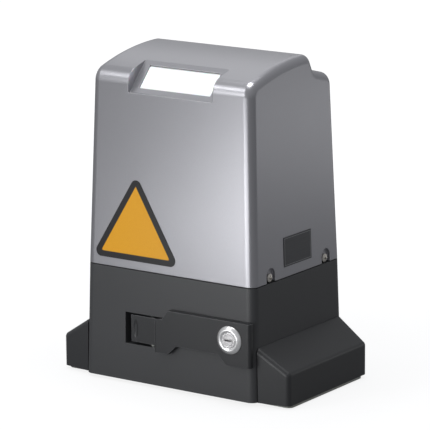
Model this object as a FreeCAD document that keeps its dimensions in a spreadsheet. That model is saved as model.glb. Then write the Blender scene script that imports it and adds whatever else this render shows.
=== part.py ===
"""Sliding gate motor: a worm-geared motor under a lift-off cover, with a keyed release lever.

Origin: centre of the base plate's underside. +Z up, -Y the front with the lever, +Y the rack side.
Lengths are millimetres, and angles are degrees.
"""
import FreeCAD, Part
import Sketcher
import math
import os
import re

V = FreeCAD.Vector
DOWN_TO_Y = FreeCAD.Rotation(V(1, 0, 0), -90)
DOWN_TO_X = FreeCAD.Rotation(V(0, 1, 0), 90)

SIZES = {
    # housing and cover
    "base_half_x": (103.7, "half width of the housing at the ground"),
    "base_half_y": (80.6, "half depth of the housing at the ground"),
    "base_slope": (0.023, "inward lean of the housing's walls, per mm of height"),
    "cover_slope": (0.032, "inward lean of the cover's walls, per mm of height"),
    "housing_top": (116.6, "height of the housing's rim"),
    "seam_gap": (1.0, "gap between the rims, filled by the seal"),
    "corner_round": (9.0, "radius of the upright corners"),
    "housing_wall": (4.0, "wall of the housing"),
    "housing_floor": (4.0, "floor of the housing"),
    "cover_wall": (3.0, "wall of the cover"),
    "crest_z": (330.0, "highest line of the cover"),
    "top_arc": (290.0, "radius of the long arc from front to crest"),
    "brow_z": (313.1, "where the front wall and the long arc would meet"),
    "drop_top_y": (33.5, "where the drop behind the crest starts"),
    "drop_y": (41.5, "where the drop behind the crest ends"),
    "drop_inset": (0.63, "shift of the drop per mm of wall"),
    "shelf_z": (313.0, "height of the shelf behind the crest"),
    "shelf_fall": (8.0, "fall of the shelf to the back wall"),
    "front_round": (16.0, "radius of the front top edge"),
    "crest_round": (11.5, "radius behind the crest"),
    "shelf_round": (14.0, "radius of the rear top edge"),
    "hollow_round": (6.0, "radius at the foot of the drop"),
    # base plate and foot covers
    "plate_thick": (3.0, "base plate"),
    "plate_half_x": (135.5, "half length of the base plate"),
    "plate_half_y": (66.0, "half depth of the base plate"),
    "plate_round": (6.0, "radius of the base plate's corners"),
    "anchor_x": (121.0, "anchor slot, from the centre"),
    "anchor_y": (42.0, "anchor slot, from the centre"),
    "anchor_hole_r": (5.5, "half width of an anchor slot"),
    "anchor_slot": (22.0, "end-to-end length of an anchor slot"),
    "foot_reach": (137.0, "outer face of a foot cover, from the centre"),
    "foot_half_y": (75.0, "half depth of a foot cover at the housing"),
    "foot_sweep": (4.7, "how far its ends close in at the outer face"),
    "foot_high": (57.5, "its height against the housing"),
    "foot_low": (35.5, "its height at the outer face"),
    "foot_round": (5.0, "radius of its edges"),
    "foot_wall": (2.5, "its wall"),
    "foot_fit": (0.2, "gap to the housing"),
    # lamp
    "lamp_bottom_y": (69.2, "lower end of the recess floor, ahead of the centre"),
    "lamp_bottom_z": (294.0, "height of the recess ledge"),
    "lamp_angle": (46.0, "lean of the recess floor from level"),
    "lamp_half_x": (50.5, "half width of the recess"),
    "lamp_tray": (3.0, "thickness of the recess floor"),
    "lens_centre": (19.5, "lens centre, up the floor from the ledge"),
    "lens_half_x": (42.4, "half width of the lens"),
    "lens_half_w": (13.4, "half height of the lens"),
    "lens_fit": (0.3, "gap round the lens"),
    "lens_flange": (3.0, "rim behind the window"),
    "lens_sunk": (1.2, "how far the lens face lies under the floor"),
    # stickers
    "sign_half": (52.9, "half side of the triangular plate, before its corners are rounded"),
    "sign_round": (6.0, "radius of its corners"),
    "sign_centre_x": (-40.2, "centre line of the triangular plate"),
    "sign_foot": (126.0, "height of its lower side"),
    "sign_tall": (87.0, "its height, before its corners are rounded"),
    "label_half_y": (24.2, "half length of the rating plate"),
    "label_foot": (127.8, "height of its lower side"),
    "label_tall": (29.5, "its height"),
    "sticker_thick": (0.5, "plates stuck on the cover"),
    # cover screws
    "screw_front_y": (-47.5, "front pair of cover screws"),
    "screw_back_y": (50.5, "rear pair of cover screws"),
    "screw_z": (122.0, "height of the cover screws"),
    "screw_head_r": (4.3, "head of a cover screw"),
    "screw_r": (2.0, "shank of a cover screw"),
    "notch_r": (7.5, "half width of the notch round a screw"),
    "notch_z": (124.2, "centre of the notch's round end"),
    "notch_deep": (3.0, "depth of the notch"),
    # release lever and lock
    "pin_x": (-24.0, "release shaft"),
    "pin_y": (-70.5, "release shaft"),
    "pin_r": (3.5, "radius of the release shaft"),
    "recess_left": (-52.6, "left side of the lever recess"),
    "recess_right": (-7.0, "right side of the lever recess"),
    "recess_low": (41.1, "lower side of the lever recess"),
    "recess_high": (73.0, "upper side of the lever recess"),
    "recess_back": (-47.5, "bottom of the lever recess"),
    "recess_wall": (3.0, "walls round the recess"),
    "tongue_left": (-45.0, "free end of the lever's tongue"),
    "tongue_low": (43.9, "lower side of the tongue"),
    "tongue_high": (71.3, "upper side of the tongue"),
    "tongue_front": (-79.6, "front of the tongue"),
    "tongue_thick": (8.0, "thickness of the tongue"),
    "lever_front": (-86.0, "front face of the lever"),
    "lever_back": (-80.4, "back face of the lever"),
    "lever_left": (-12.0, "left end of the lever's plate"),
    "lever_right": (101.6, "right end of the lever's plate"),
    "lever_top": (83.3, "upper edge of the lever"),
    "lever_foot": (39.0, "lower edge of the lever's two lobes"),
    "lever_waist": (48.6, "lower edge between the lobes"),
    "lobe_left": (9.0, "middle of the step beside the left lobe"),
    "lobe_right": (68.5, "middle of the step beside the right lobe"),
    "lobe_step": (10.0, "width of a step, in X"),
    "lock_x": (78.0, "lock axis"),
    "lock_z": (64.9, "lock axis"),
    "lock_ring_r": (14.0, "chrome ring"),
    "lock_barrel_r": (9.0, "lock body behind the ring"),
    "lock_core_r": (7.5, "turning core"),
    "lock_face": (-89.2, "front of the ring"),
    "lock_back": (-71.0, "back of the lock body"),
    "cam_reach": (15.0, "lock cam from its axis"),
    "cam_thick": (3.0, "lock cam"),
    # release shaft below the recess, fork
    "finger_reach": (9.0, "release finger from its shaft"),
    "finger_half": (3.0, "half thickness of the finger"),
    "finger_low": (26.0, "lower side of the finger"),
    "finger_high": (34.0, "upper side of the finger"),
    "fork_face": (-65.1, "face that the finger pushes"),
    "fork_travel": (9.0, "travel of fork and clutch ring"),
    "bar_left": (-38.0, "left side of the fork's push bar"),
    "bar_right": (-20.0, "right side of the fork's push bar"),
    "window_gap": (1.2, "room above and below the push bar in its window"),
    "rod_x": (-30.0, "fork guide rod"),
    "rod_z": (20.0, "fork guide rod"),
    "rod_r": (4.0, "fork guide rod"),
    # drive line
    "shaft_z": (64.0, "output axis"),
    "shaft_r": (10.0, "output shaft"),
    "shaft_thin_r": (7.5, "its front journal"),
    "shaft_front": (-45.0, "front end of the shaft"),
    "bridge_front": (-44.0, "front face of the bearing bridge"),
    "bridge_thick": (10.0, "bearing bridge"),
    "front_bearing_r": (16.0, "outer radius of the front bearing"),
    "rear_bearing_r": (21.0, "outer radius of the rear bearing"),
    "rear_bearing_y": (58.0, "front of the rear bearing"),
    "rear_bearing_w": (12.0, "width of the rear bearing"),
    "seal_w": (6.0, "oil seal"),
    "wheel_y": (-14.0, "middle plane of the worm wheel"),
    "wheel_width": (14.0, "its toothed rim"),
    "gear_module": (1.5, "module of worm and wheel"),
    "wheel_teeth": (40, "teeth of the worm wheel"),
    "worm_pitch_r": (8.0, "pitch radius of the worm"),
    "worm_half": (17.0, "half length of the thread"),
    "worm_shaft_r": (5.0, "worm shaft"),
    "worm_bearing_r": (13.0, "outer radius of a worm bearing"),
    "worm_bearing_w": (8.0, "width of a worm bearing"),
    "dog_length": (6.0, "clutch dogs"),
    "ring_r": (24.0, "clutch ring"),
    "ring_length": (15.5, "clutch ring without its dogs"),
    "groove_at": (5.0, "groove, from the ring's front"),
    "groove_width": (5.0, "groove"),
    "groove_r": (19.0, "bottom of the groove"),
    "spring_r": (14.0, "clutch spring"),
    "spring_wire": (2.0, "its wire"),
    "collar_y": (40.0, "front of the spring's collar"),
    "collar_w": (5.0, "collar"),
    "pinion_y": (83.0, "front of the pinion"),
    "pinion_width": (25.0, "pinion"),
    "pinion_module": (4.0, "module of pinion and rack"),
    "pinion_teeth": (16, "teeth of the pinion"),
    "key_half": (3.0, "half width of the shaft key"),
    # motor
    "lid_thick": (5.0, "gearbox lid"),
    "lid_top": (111.0, "upper face of the gearbox lid"),
    "motor_r": (45.0, "stator"),
    "motor_low": (121.0, "lower end of the stator"),
    "motor_high": (201.0, "upper end of the stator"),
    "rotor_r": (24.5, "rotor core"),
    "air_gap": (0.5, "between rotor and stator"),
    "motor_cap": (18.0, "height of the upper motor cap"),
    "tie_r": (37.5, "tie bolts from the motor axis"),
    # electrics
    "transformer_x": (-53.0, "centre of the transformer"),
    "transformer_y": (43.0, "centre of the transformer"),
    "board_y": (-48.0, "back of the control board"),
    "board_left": (-84.0, "left edge of the control board"),
    "board_right": (-12.0, "right edge of the control board"),
    "board_low": (122.0, "lower edge of the control board"),
    "board_high": (250.0, "upper edge of the control board"),
    "board_thick": (1.6, "control board"),
    "can_x": (-57.0, "capacitor axis"),
    "can_y": (-10.0, "capacitor axis"),
    "can_r": (17.5, "capacitor"),
    "can_tall": (75.0, "capacitor"),
    # limit switch
    "limit_z": (114.0, "limit switch axis"),
    "limit_half_x": (22.0, "half width of the limit switch box"),
    "limit_low": (102.0, "underside of its box"),
    "limit_high": (127.0, "top of its box"),
    "limit_front": (78.3, "front of its box"),
    "limit_back": (101.0, "back of its box"),
    "whisker_r": (4.0, "limit spring"),
    "whisker_top": (190.0, "tip of the limit spring"),
    # cable entry
    "entry_x": (-62.0, "cable entry"),
    "entry_y": (40.0, "cable entry"),
    "entry_r": (10.0, "cable passage through the grommet"),
    "grommet_r": (14.0, "hole for the grommet"),
    "lead_r": (1.5, "internal leads"),
    # fits
    "running": (0.05, "radial gap of a running fit"),
    "pass_gap": (0.4, "gap between pieces that pass each other"),
}

doc = FreeCAD.newDocument("sliding_gate_motor")
sheet = doc.addObject("Spreadsheet::Sheet", "dims")
for row, (alias, (number, meaning)) in enumerate(SIZES.items(), start=1):
    sheet.set(f"A{row}", meaning)
    sheet.set(f"B{row}", str(number))
    sheet.setAlias(f"B{row}", alias)
doc.recompute()

ALIAS = re.compile(r"\b(" + "|".join(SIZES) + r")\b")
NODES = []


def value(alias):
    """A size as it stands in the sheet now."""
    return float(sheet.get(alias))


def link(item, prop, formula):
    """Bind one property of an object to a formula of the sheet's names."""
    item.setExpression(prop, ALIAS.sub(r"dims.\1", str(formula)))


def place(item, x, y, z):
    """Bind an object's place to three formulas."""
    for axis, formula in zip("xyz", (x, y, z)):
        link(item, f"Placement.Base.{axis}", formula)


def box(x0, x1, y0, y1, z0, z1, name="Block"):
    """Block between two opposite corners."""
    item = doc.addObject("Part::Box", name)
    link(item, "Length", f"({x1}) - ({x0})")
    link(item, "Width", f"({y1}) - ({y0})")
    link(item, "Height", f"({z1}) - ({z0})")
    place(item, x0, y0, z0)
    return item


def rod(radius, start, end, u, v, along="Z", name="Round"):
    """Cylinder between two places on its axis; u and v are the axis' other two coordinates in X, Y, Z order."""
    item = doc.addObject("Part::Cylinder", name)
    link(item, "Radius", radius)
    link(item, "Height", f"({end}) - ({start})")
    if along == "X":
        item.Placement.Rotation = DOWN_TO_X
        place(item, start, u, v)
    elif along == "Y":
        item.Placement.Rotation = DOWN_TO_Y
        place(item, u, start, v)
    else:
        place(item, u, v, start)
    return item


def frustum(half_x, half_y, slope, z0, z1, name="Leaning"):
    """Block with four leaning walls; half_x and half_y hold at z0."""
    item = doc.addObject("Part::Wedge", name)
    item.Placement.Rotation = FreeCAD.Rotation(V(1, 0, 0), 90)
    rise = f"(({z1}) - ({z0})) * {slope}"
    sizes = {
        "Xmin": f"-({half_x})", "Xmax": half_x, "Zmin": f"-({half_y})", "Zmax": half_y,
        "Ymin": "0", "Ymax": f"({z1}) - ({z0})",
        "X2min": f"-({half_x}) + {rise}", "X2max": f"({half_x}) - {rise}",
        "Z2min": f"-({half_y}) + {rise}", "Z2max": f"({half_y}) - {rise}",
    }
    for prop, formula in sizes.items():
        link(item, prop, formula)
    place(item, "0", "0", z0)
    return item


def fuse(*items, name="Joined"):
    """One solid from several."""
    item = doc.addObject("Part::MultiFuse", name)
    item.Shapes = list(items)
    return item


def common(*items, name="Shared"):
    """What several solids share."""
    item = doc.addObject("Part::MultiCommon", name)
    item.Shapes = list(items)
    return item


def cut(base, *tools, name="Trimmed"):
    """A solid less one or more others."""
    item = doc.addObject("Part::Cut", name)
    item.Base = base
    item.Tool = tools[0] if len(tools) == 1 else fuse(*tools)
    return item


def group(*items, name="Group"):
    """Separate solids of one node."""
    item = doc.addObject("Part::Compound", name)
    item.Links = list(items)
    return item


def solid(shape, name="Shaped"):
    """A shape made with Part's own functions."""
    item = doc.addObject("Part::Feature", name)
    item.Shape = shape
    return item


def round_edges(base, radius, wanted, name="Rounded"):
    """Fillet the edges for which wanted(edge) is true."""
    doc.recompute()
    item = doc.addObject("Part::Fillet", name)
    item.Base = base
    edges = [(i, radius, radius) for i, edge in enumerate(base.Shape.Edges, start=1) if wanted(edge)]
    item.Edges = edges
    return item


def node(label, item):
    """Name a finished sub-part; its label names its file."""
    item.Label = label
    NODES.append(item)
    return item


def sketch_in(body, role, offset, name):
    """Empty sketch on one of the body's own origin planes, moved along the plane's normal."""
    sketch = body.newObject("Sketcher::SketchObject", name)
    origin_plane = next(f for f in body.Origin.OriginFeatures if f.Role == role)
    sketch.AttachmentSupport = (origin_plane, [""])
    sketch.MapMode = "FlatFace"
    link(sketch, "AttachmentOffset.Base.z", offset)
    return sketch


def outline(sketch, points, arcs=()):
    """Closed outline; each corner's two coordinates are formulas; arcs maps a side's number to a radius.

    Each side runs from its corner to the next one, and an arc bulges to the left of that run.
    """
    origin = -1
    numbers = [(number_of(x), number_of(y)) for x, y in points]
    arcs = dict(arcs)
    count = len(points)
    for i in range(count):
        a = V(*numbers[i], 0)
        b = V(*numbers[(i + 1) % count], 0)
        if i in arcs:
            radius = number_of(arcs[i])
            middle = (a + b) * 0.5
            half = (b - a).Length / 2
            left = V(-(b - a).y, (b - a).x, 0).normalize()
            centre = middle - left * math.sqrt(radius * radius - half * half)
            bulge = centre + left * radius
            sketch.addGeometry(Part.Arc(a, bulge, b), False)
        else:
            sketch.addGeometry(Part.LineSegment(a, b), False)
    ends = []
    for i in range(count):
        a = V(*numbers[i], 0)
        start = sketch.getPoint(i, 1)
        ends.append((1, 2) if (start - a).Length < 1e-6 else (2, 1))
    for i in range(count):
        following = (i + 1) % count
        sketch.addConstraint(Sketcher.Constraint("Coincident", i, ends[i][1], following, ends[following][0]))
    for i, (x, y) in enumerate(points):
        for kind, formula, number in (("DistanceX", x, numbers[i][0]), ("DistanceY", y, numbers[i][1])):
            index = sketch.addConstraint(Sketcher.Constraint(kind, origin, 1, i, ends[i][0], number))
            link(sketch, f"Constraints[{index}]", formula)
    for i, formula in arcs.items():
        index = sketch.addConstraint(Sketcher.Constraint("Radius", i, number_of(formula)))
        link(sketch, f"Constraints[{index}]", formula)


def number_of(formula):
    """The number that a formula of the sheet gives now."""
    probe = doc.addObject("App::FeaturePython", "Probe")
    probe.addProperty("App::PropertyFloat", "Result")
    link(probe, "Result", formula)
    probe.recompute()
    result = probe.Result
    doc.removeObject(probe.Name)
    return result


def pad(body, sketch, length, both=False, back=False, name="Pad"):
    """Thicken a sketch by a length, along its normal, against it, or half each way."""
    feature = body.newObject("PartDesign::Pad", name)
    feature.Profile = sketch
    link(feature, "Length", length)
    feature.Midplane = both
    feature.Reversed = back
    return feature


def prism(role, offset, length, points, arcs=(), both=False, back=False, name="Prism"):
    """Body with one padded outline. Roles: XY_Plane (x, y), XZ_Plane (x, z, normal -Y), YZ_Plane (y, z, normal +X)."""
    body = doc.addObject("PartDesign::Body", name)
    sketch = sketch_in(body, role, offset, name + "Outline")
    outline(sketch, points, arcs)
    pad(body, sketch, length, both, back, name + "Pad")
    return body


def dress(body, radius, wanted, name="Fillet"):
    """Fillet edges of a body's newest feature."""
    doc.recompute()
    base = body.Tip
    feature = body.newObject("PartDesign::Fillet", name)
    names = [f"Edge{i}" for i, edge in enumerate(base.Shape.Edges, start=1) if wanted(edge)]
    feature.Base = (base, names)
    link(feature, "Radius", radius)
    return body


# ---- places that several pieces share ----
SEAM = "(housing_top + seam_gap)"
RIM_X = "(base_half_x - base_slope * housing_top)"
RIM_Y = "(base_half_y - base_slope * housing_top)"
FLOOR = "(plate_thick + housing_floor)"
LID_LOW = "(lid_top - lid_thick)"
CENTRE_X = "(gear_module * wheel_teeth / 2 + worm_pitch_r)"
WHEEL_TIP = "(gear_module * (wheel_teeth / 2 + 1))"
SIDES = (-1, 1)
CORNERS = [(sx, sy) for sx in SIDES for sy in ("screw_front_y", "screw_back_y")]


def upright(slope, half_x, half_y, z0):
    """Test for the four leaning corner edges of a block with leaning walls."""
    def wanted(edge):
        ends = [v.Point for v in edge.Vertexes]
        return len(ends) == 2 and abs(ends[0].z - ends[1].z) > 0.5 and all(
            abs(abs(p.x) - half_x + slope * (p.z - z0)) < 0.05 and abs(abs(p.y) - half_y + slope * (p.z - z0)) < 0.05
            for p in ends)
    return wanted


def housing_form(inset, low, high, name):
    """The housing's leaning block with rounded corners, drawn in by an inset."""
    half_x = f"base_half_x - {inset} - base_slope * {low}"
    half_y = f"base_half_y - {inset} - base_slope * {low}"
    block = frustum(half_x, half_y, "base_slope", low, high, name)
    test = upright(value("base_slope"), number_of(half_x), number_of(half_y), number_of(low))
    return round_edges(block, number_of(f"corner_round - {inset}"), test, name + "Round")


def cover_form(inset, name):
    """The cover's outer or inner form: a side profile across the whole width, cut by two leaning sides."""
    front = f"(-{RIM_Y} + {inset}"
    back = f"({RIM_Y} - {inset}"
    profile = prism("YZ_Plane", "0", "base_half_x * 2.2", [
        (front + ")", SEAM),
        (front + f" + cover_slope * (brow_z - {SEAM}))", f"brow_z - {inset}"),
        (f"drop_top_y - drop_inset * {inset}", f"crest_z - {inset}"),
        (f"drop_y - drop_inset * {inset}", f"shelf_z - {inset}"),
        (back + f" - cover_slope * (shelf_z - shelf_fall - {SEAM}))", f"shelf_z - shelf_fall - {inset}"),
        (back + ")", SEAM),
    ], arcs={1: f"top_arc - {inset}"}, both=True, name=name + "Profile")

    def along_x(y, z, reach):
        """Test for a straight edge along X near one place of the profile."""
        def wanted(edge):
            ends = [v.Point for v in edge.Vertexes]
            return len(ends) == 2 and abs(ends[0].x - ends[1].x) > 50 and all(
                math.hypot(p.y - y, p.z - z) < reach for p in ends)
        return wanted

    corners = {
        "Shelf": (number_of(back + f" - cover_slope * (shelf_z - shelf_fall - {SEAM}))"),
                  number_of(f"shelf_z - shelf_fall - {inset}"), f"shelf_round - {inset}"),
        "Hollow": (number_of(f"drop_y - drop_inset * {inset}"), number_of(f"shelf_z - {inset}"),
                   f"hollow_round + {inset}"),
        "Crest": (number_of(f"drop_top_y - drop_inset * {inset}"), number_of(f"crest_z - {inset}"),
                  f"crest_round - {inset}"),
        "Brow": (number_of(front + f" + cover_slope * (brow_z - {SEAM}))"), number_of(f"brow_z - {inset}"),
                 f"front_round - {inset}"),
    }
    for corner, (y, z, radius) in corners.items():
        dress(profile, radius, along_x(y, z, 0.5), name + corner)
    sides = frustum(f"{RIM_X} - {inset}", f"{RIM_Y} + 60", "cover_slope", SEAM, "crest_z + 5", name + "Sides")
    block = common(profile, sides, name=name + "Block")
    half_x = number_of(f"{RIM_X} - {inset}")
    seam = number_of(SEAM)

    def on_side(edge):
        ends = [v.Point for v in edge.Vertexes]
        flat = all(abs(abs(p.x) - half_x + value("cover_slope") * (p.z - seam)) < 0.05 for p in ends)
        return flat and ends[0].x * ends[-1].x > 0 and max(p.z for p in ends) > seam + 1

    return round_edges(block, number_of(f"corner_round - {inset}"), on_side, name + "Round")


# ---- base plate: steel, laser-cut, with two slots under each foot cover and the cable hole ----
sheet_steel = box("-plate_half_x", "plate_half_x", "-plate_half_y", "plate_half_y", "0", "plate_thick", "Plate")
plate = round_edges(sheet_steel, value("plate_round"), lambda edge: abs(edge.Vertexes[0].Z - edge.Vertexes[1].Z) > 1)
slots = []
for sx in SIDES:
    for sy in SIDES:
        x = f"{sx} * anchor_x"
        y = f"{sy} * anchor_y"
        run = "(anchor_slot / 2 - anchor_hole_r)"
        slots.append(rod("anchor_hole_r", "-1", "plate_thick + 1", f"{x} - {run}", y))
        slots.append(rod("anchor_hole_r", "-1", "plate_thick + 1", f"{x} + {run}", y))
        slots.append(box(f"{x} - {run}", f"{x} + {run}", f"{y} - anchor_hole_r", f"{y} + anchor_hole_r",
                         "-1", "plate_thick + 1"))
slots.append(rod("grommet_r", "-1", "plate_thick + 1", "entry_x", "entry_y"))
node("base_plate", cut(plate, *slots))

# ---- lower housing: die-cast shell with recess box, bearing walls and bosses ----
shell = housing_form("0", "plate_thick", "housing_top", "HousingOuter")
hollow = housing_form("housing_wall", FLOOR, "housing_top + 2", "HousingInner")
shell = cut(shell, hollow)
recess_box = box("recess_left - recess_wall", "recess_right + recess_wall", "-base_half_y + 3",
                 "recess_back + recess_wall", "recess_low - recess_wall", "recess_high + recess_wall", "RecessBox")
bridge = box("-42", "34", "bridge_front", "bridge_front + bridge_thick", FLOOR, LID_LOW, "Bridge")
rear_boss = rod("rear_bearing_r + 5", "rear_bearing_y - 3", "base_half_y - 6", "0", "shaft_z", "Y", "RearBoss")
worm_boss = rod("worm_bearing_r + 5", FLOOR, f"{FLOOR} + 30", CENTRE_X, "wheel_y", "Z", "WormBoss")
rod_seat = box("rod_x - rod_r - 4", "rod_x + rod_r + 4", "24", "34", FLOOR, "rod_z + rod_r + 4", "RodSeat")
posts = []
for sx, sy in CORNERS:
    post_in = f"{sx} * (base_half_x - 19)"
    post_out = f"{sx} * (base_half_x - 9)"
    post_root = f"{sx} * (base_half_x - 3.5)"
    for reach, low, high in ((post_root, FLOOR, "housing_top - 17"), (post_out, "housing_top - 17", "screw_z + 8")):
        x0, x1 = (reach, post_in) if sx < 0 else (post_in, reach)
        posts.append(box(x0, x1, f"{sy} - 8", f"{sy} + 8", low, high, "ScrewPost"))
ledges = []
for sy in SIDES:
    y_wall = f"{sy} * (base_half_y - 5)"
    y_in = f"{sy} * (base_half_y - 18)"
    y0, y1 = (y_wall, y_in) if sy < 0 else (y_in, y_wall)
    for x in ("-78", "44"):
        ledges.append(box(x, f"{x} + 12", y0, y1, f"{LID_LOW} - 14", LID_LOW, "Ledge"))
casting = fuse(shell, recess_box, bridge, rear_boss, worm_boss, rod_seat, *posts, *ledges, name="Casting")
holes = [
    box("recess_left", "recess_right", "-base_half_y - 5", "recess_back", "recess_low", "recess_high", "Recess"),
    rod("pin_r + running", "recess_low - recess_wall - 1", "recess_high + recess_wall + 1", "pin_x", "pin_y"),
    rod("front_bearing_r", "bridge_front - 1", "bridge_front + bridge_thick + 1", "0", "shaft_z", "Y"),
    rod("rear_bearing_r", "rear_bearing_y", "base_half_y + 1", "0", "shaft_z", "Y"),
    rod("shaft_r + 6", "rear_bearing_y - 5", "rear_bearing_y + 1", "0", "shaft_z", "Y"),
    rod("worm_bearing_r", f"{FLOOR} + 22", f"{FLOOR} + 31", CENTRE_X, "wheel_y"),
    rod("worm_shaft_r + 3", f"{FLOOR} + 4", f"{FLOOR} + 23", CENTRE_X, "wheel_y"),
    rod(WHEEL_TIP + " + 2", "wheel_y - wheel_width / 2 - 2", "wheel_y + wheel_width / 2 + 2", "0", "shaft_z", "Y"),
    rod("rod_r", "bridge_front - 1", "35", "rod_x", "rod_z", "Y"),
    box("bar_left - 2", "bar_right + 2", "bridge_front - 1", "bridge_front + bridge_thick + 1",
        "finger_low - window_gap", "finger_high + window_gap", "BarWindow"),
    rod("lock_barrel_r + 3", "-base_half_y - 1", "-base_half_y + 9", "lock_x", "lock_z", "Y"),
    box("lock_x - cam_reach - 3", "lock_x", "-base_half_y - 1", "-base_half_y + 9", "lock_z - 7", "lock_z + 7"),
    rod("grommet_r", "0", f"{FLOOR} + 1", "entry_x", "entry_y"),
    box("-6", "6", "base_half_y - 12", "base_half_y + 1", "limit_z - 6", "housing_top + 3", "LimitSlot"),
]
for sx, sy in CORNERS:
    start = f"{sx} * (base_half_x - 20)"
    end = f"{sx} * (base_half_x - 8)"
    x0, x1 = (end, start) if sx < 0 else (start, end)
    holes.append(rod("screw_r", x0, x1, sy, "screw_z", "X"))
node("lower_housing", cut(casting, *holes))


# ---- foot covers: moulded caps over the anchor flanges ----
def foot_form(sx, inset, name):
    """A foot cover's form: sloping top, ends swept in; sx is the side, inset draws it in all round."""
    inner_low = f"{sx} * (base_half_x - base_slope * plate_thick + foot_fit - 2 * {inset})"
    inner_high = f"{sx} * (base_half_x - base_slope * foot_high + foot_fit - 2 * {inset})"
    outer = f"{sx} * (foot_reach - {inset})"
    low = "plate_thick" if inset == "0" else "plate_thick - 1"
    points = [
        (inner_low, low),
        (outer, low),
        (outer, f"foot_low - {inset}"),
        (inner_high, f"foot_high - 1.2 * {inset}"),
    ]
    face = prism("XZ_Plane", "0", "foot_half_y * 2.4", points, both=True, name=name + "Face")
    lean = "foot_sweep / (foot_reach - base_half_x)"
    near_half = f"(foot_half_y - {inset} + 20 * {lean})"
    far_half = f"(foot_half_y - {inset} - foot_sweep - 2 * {lean})"
    near = f"{sx} * (base_half_x - 20)"
    far = f"{sx} * (foot_reach + 2)"
    plan = prism("XY_Plane", "0", "foot_high + 20", [
        (near, f"-{near_half}"), (far, f"-{far_half}"), (far, far_half), (near, near_half)], name=name + "Plan")
    block = common(face, plan, name=name + "Block")
    outer_x = abs(number_of(outer))
    high_z = number_of(f"foot_high - 1.2 * {inset}")
    inner_x = abs(number_of(inner_high))

    def outside(edge):
        middle = edge.CenterOfMass
        at_wall = abs(middle.x) < inner_x + 1.5 and all(abs(v.Point.x) < inner_x + 3 for v in edge.Vertexes)
        at_ground = all(v.Point.z < value("plate_thick") + 0.5 for v in edge.Vertexes)
        return not at_wall and not at_ground and abs(middle.x) <= outer_x + 0.1 and middle.z < high_z + 0.1

    radius = number_of(f"foot_round - {inset}")
    return round_edges(block, radius, outside, name + "Round")


for sx, label in ((-1, "left_foot_cover"), (1, "right_foot_cover")):
    name = label.title().replace("_", "")
    node(label, cut(foot_form(sx, "0", name + "Outer"), foot_form(sx, "foot_wall", name + "Inner")))

# ---- top cover: moulded shell with the lamp recess, its floor, and a notch at each screw ----
outer_form = cover_form("0", "CoverOuter")
inner_form = cover_form("cover_wall", "CoverInner")

def lamp_box(x, y0, y1, z0, z1, name):
    """Block in the lamp's own frame, bound to the sheet, inside one wrapper that carries the lean."""
    block = box(f"-({x})", x, y0, y1, z0, z1, name)
    item = group(block, name=name + "Leaning")
    item.Placement.Rotation = FreeCAD.Rotation(V(1, 0, 0), 0)
    link(item, "Placement.Rotation.Angle", "lamp_angle")
    link(item, "Placement.Rotation.Axis.x", "1")
    link(item, "Placement.Rotation.Axis.y", "0")
    link(item, "Placement.Rotation.Axis.z", "0")
    place(item, "0", "-lamp_bottom_y", "lamp_bottom_z")
    return item


recess_space = [
    lamp_box("lamp_half_x", "0", "60", "0", "40", "RecessOpening"),
    box("-lamp_half_x", "lamp_half_x", "-base_half_y", "-lamp_bottom_y", "lamp_bottom_z", "crest_z", "LedgeOpening"),
]
recess_walls = [
    lamp_box("lamp_half_x + cover_wall", "-cover_wall", "60", "-lamp_tray", "40", "RecessWalls"),
    box("-lamp_half_x - cover_wall", "lamp_half_x + cover_wall", "-base_half_y", "-lamp_bottom_y",
        "lamp_bottom_z - cover_wall", "crest_z", "LedgeWall"),
]
recess_shell = common(fuse(*recess_walls), outer_form, name="RecessShell")
window = lamp_box("lens_half_x + lens_fit", "lens_centre - lens_half_w - lens_fit",
                  "lens_centre + lens_half_w + lens_fit", "-lamp_tray - 1", "1", "Window")
pads = []
notches = []
for sx, sy in CORNERS:
    deep = f"{sx} * ({RIM_X} - notch_deep)"
    back = f"{sx} * ({RIM_X} - notch_deep - 3)"
    near = f"{sx} * ({RIM_X} - 1.8)"
    far = f"{sx} * ({RIM_X} + 2)"
    inward = f"{sx} * ({RIM_X} - notch_deep - 4)"

    def between(a, b, side=sx):
        """The two X places in rising order."""
        return (b, a) if side < 0 else (a, b)

    pads.append(box(*between(back, near), f"{sy} - notch_r - 2.5", f"{sy} + notch_r + 2.5",
                    SEAM, "notch_z + notch_r + 2.5", "NotchPad"))
    notches.append(rod("notch_r", *between(deep, far), sy, "notch_z", "X"))
    notches.append(box(*between(deep, far), f"{sy} - notch_r", f"{sy} + notch_r", f"{SEAM} - 1", "notch_z"))
    notches.append(rod("screw_r + pass_gap", *between(inward, far), sy, "screw_z", "X"))
    notches.append(box(*between(inward, far), f"{sy} - screw_r - pass_gap", f"{sy} + screw_r + pass_gap",
                       f"{SEAM} - 1", "screw_z"))
cover_shell = fuse(cut(outer_form, inner_form), recess_shell, *pads, name="CoverShell")
node("top_cover", cut(cover_shell, *recess_space, window, *notches))

# ---- lamp: opal lens with a rim behind the window, reflector frame, LED board with its chips ----
RIM_LOW = "(-lamp_tray - 1.5)"
BOARD_HIGH = f"({RIM_LOW} - 6)"
lens_face = lamp_box("lens_half_x", "lens_centre - lens_half_w", "lens_centre + lens_half_w",
                     RIM_LOW, "-lens_sunk", "LensFace")
lens_rim = lamp_box("lens_half_x + lens_flange", "lens_centre - lens_half_w - lens_flange",
                    "lens_centre + lens_half_w + lens_flange", RIM_LOW, "-lamp_tray", "LensRim")
node("lamp_lens", fuse(lens_face, lens_rim))
frame_out = lamp_box("lens_half_x + lens_flange", "lens_centre - lens_half_w - lens_flange",
                     "lens_centre + lens_half_w + lens_flange", BOARD_HIGH, RIM_LOW, "ReflectorOuter")
frame_in = lamp_box("lens_half_x", "lens_centre - lens_half_w", "lens_centre + lens_half_w",
                    f"{BOARD_HIGH} - 1", f"{RIM_LOW} + 1", "ReflectorInner")
node("lamp_reflector", cut(frame_out, frame_in))
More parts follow.
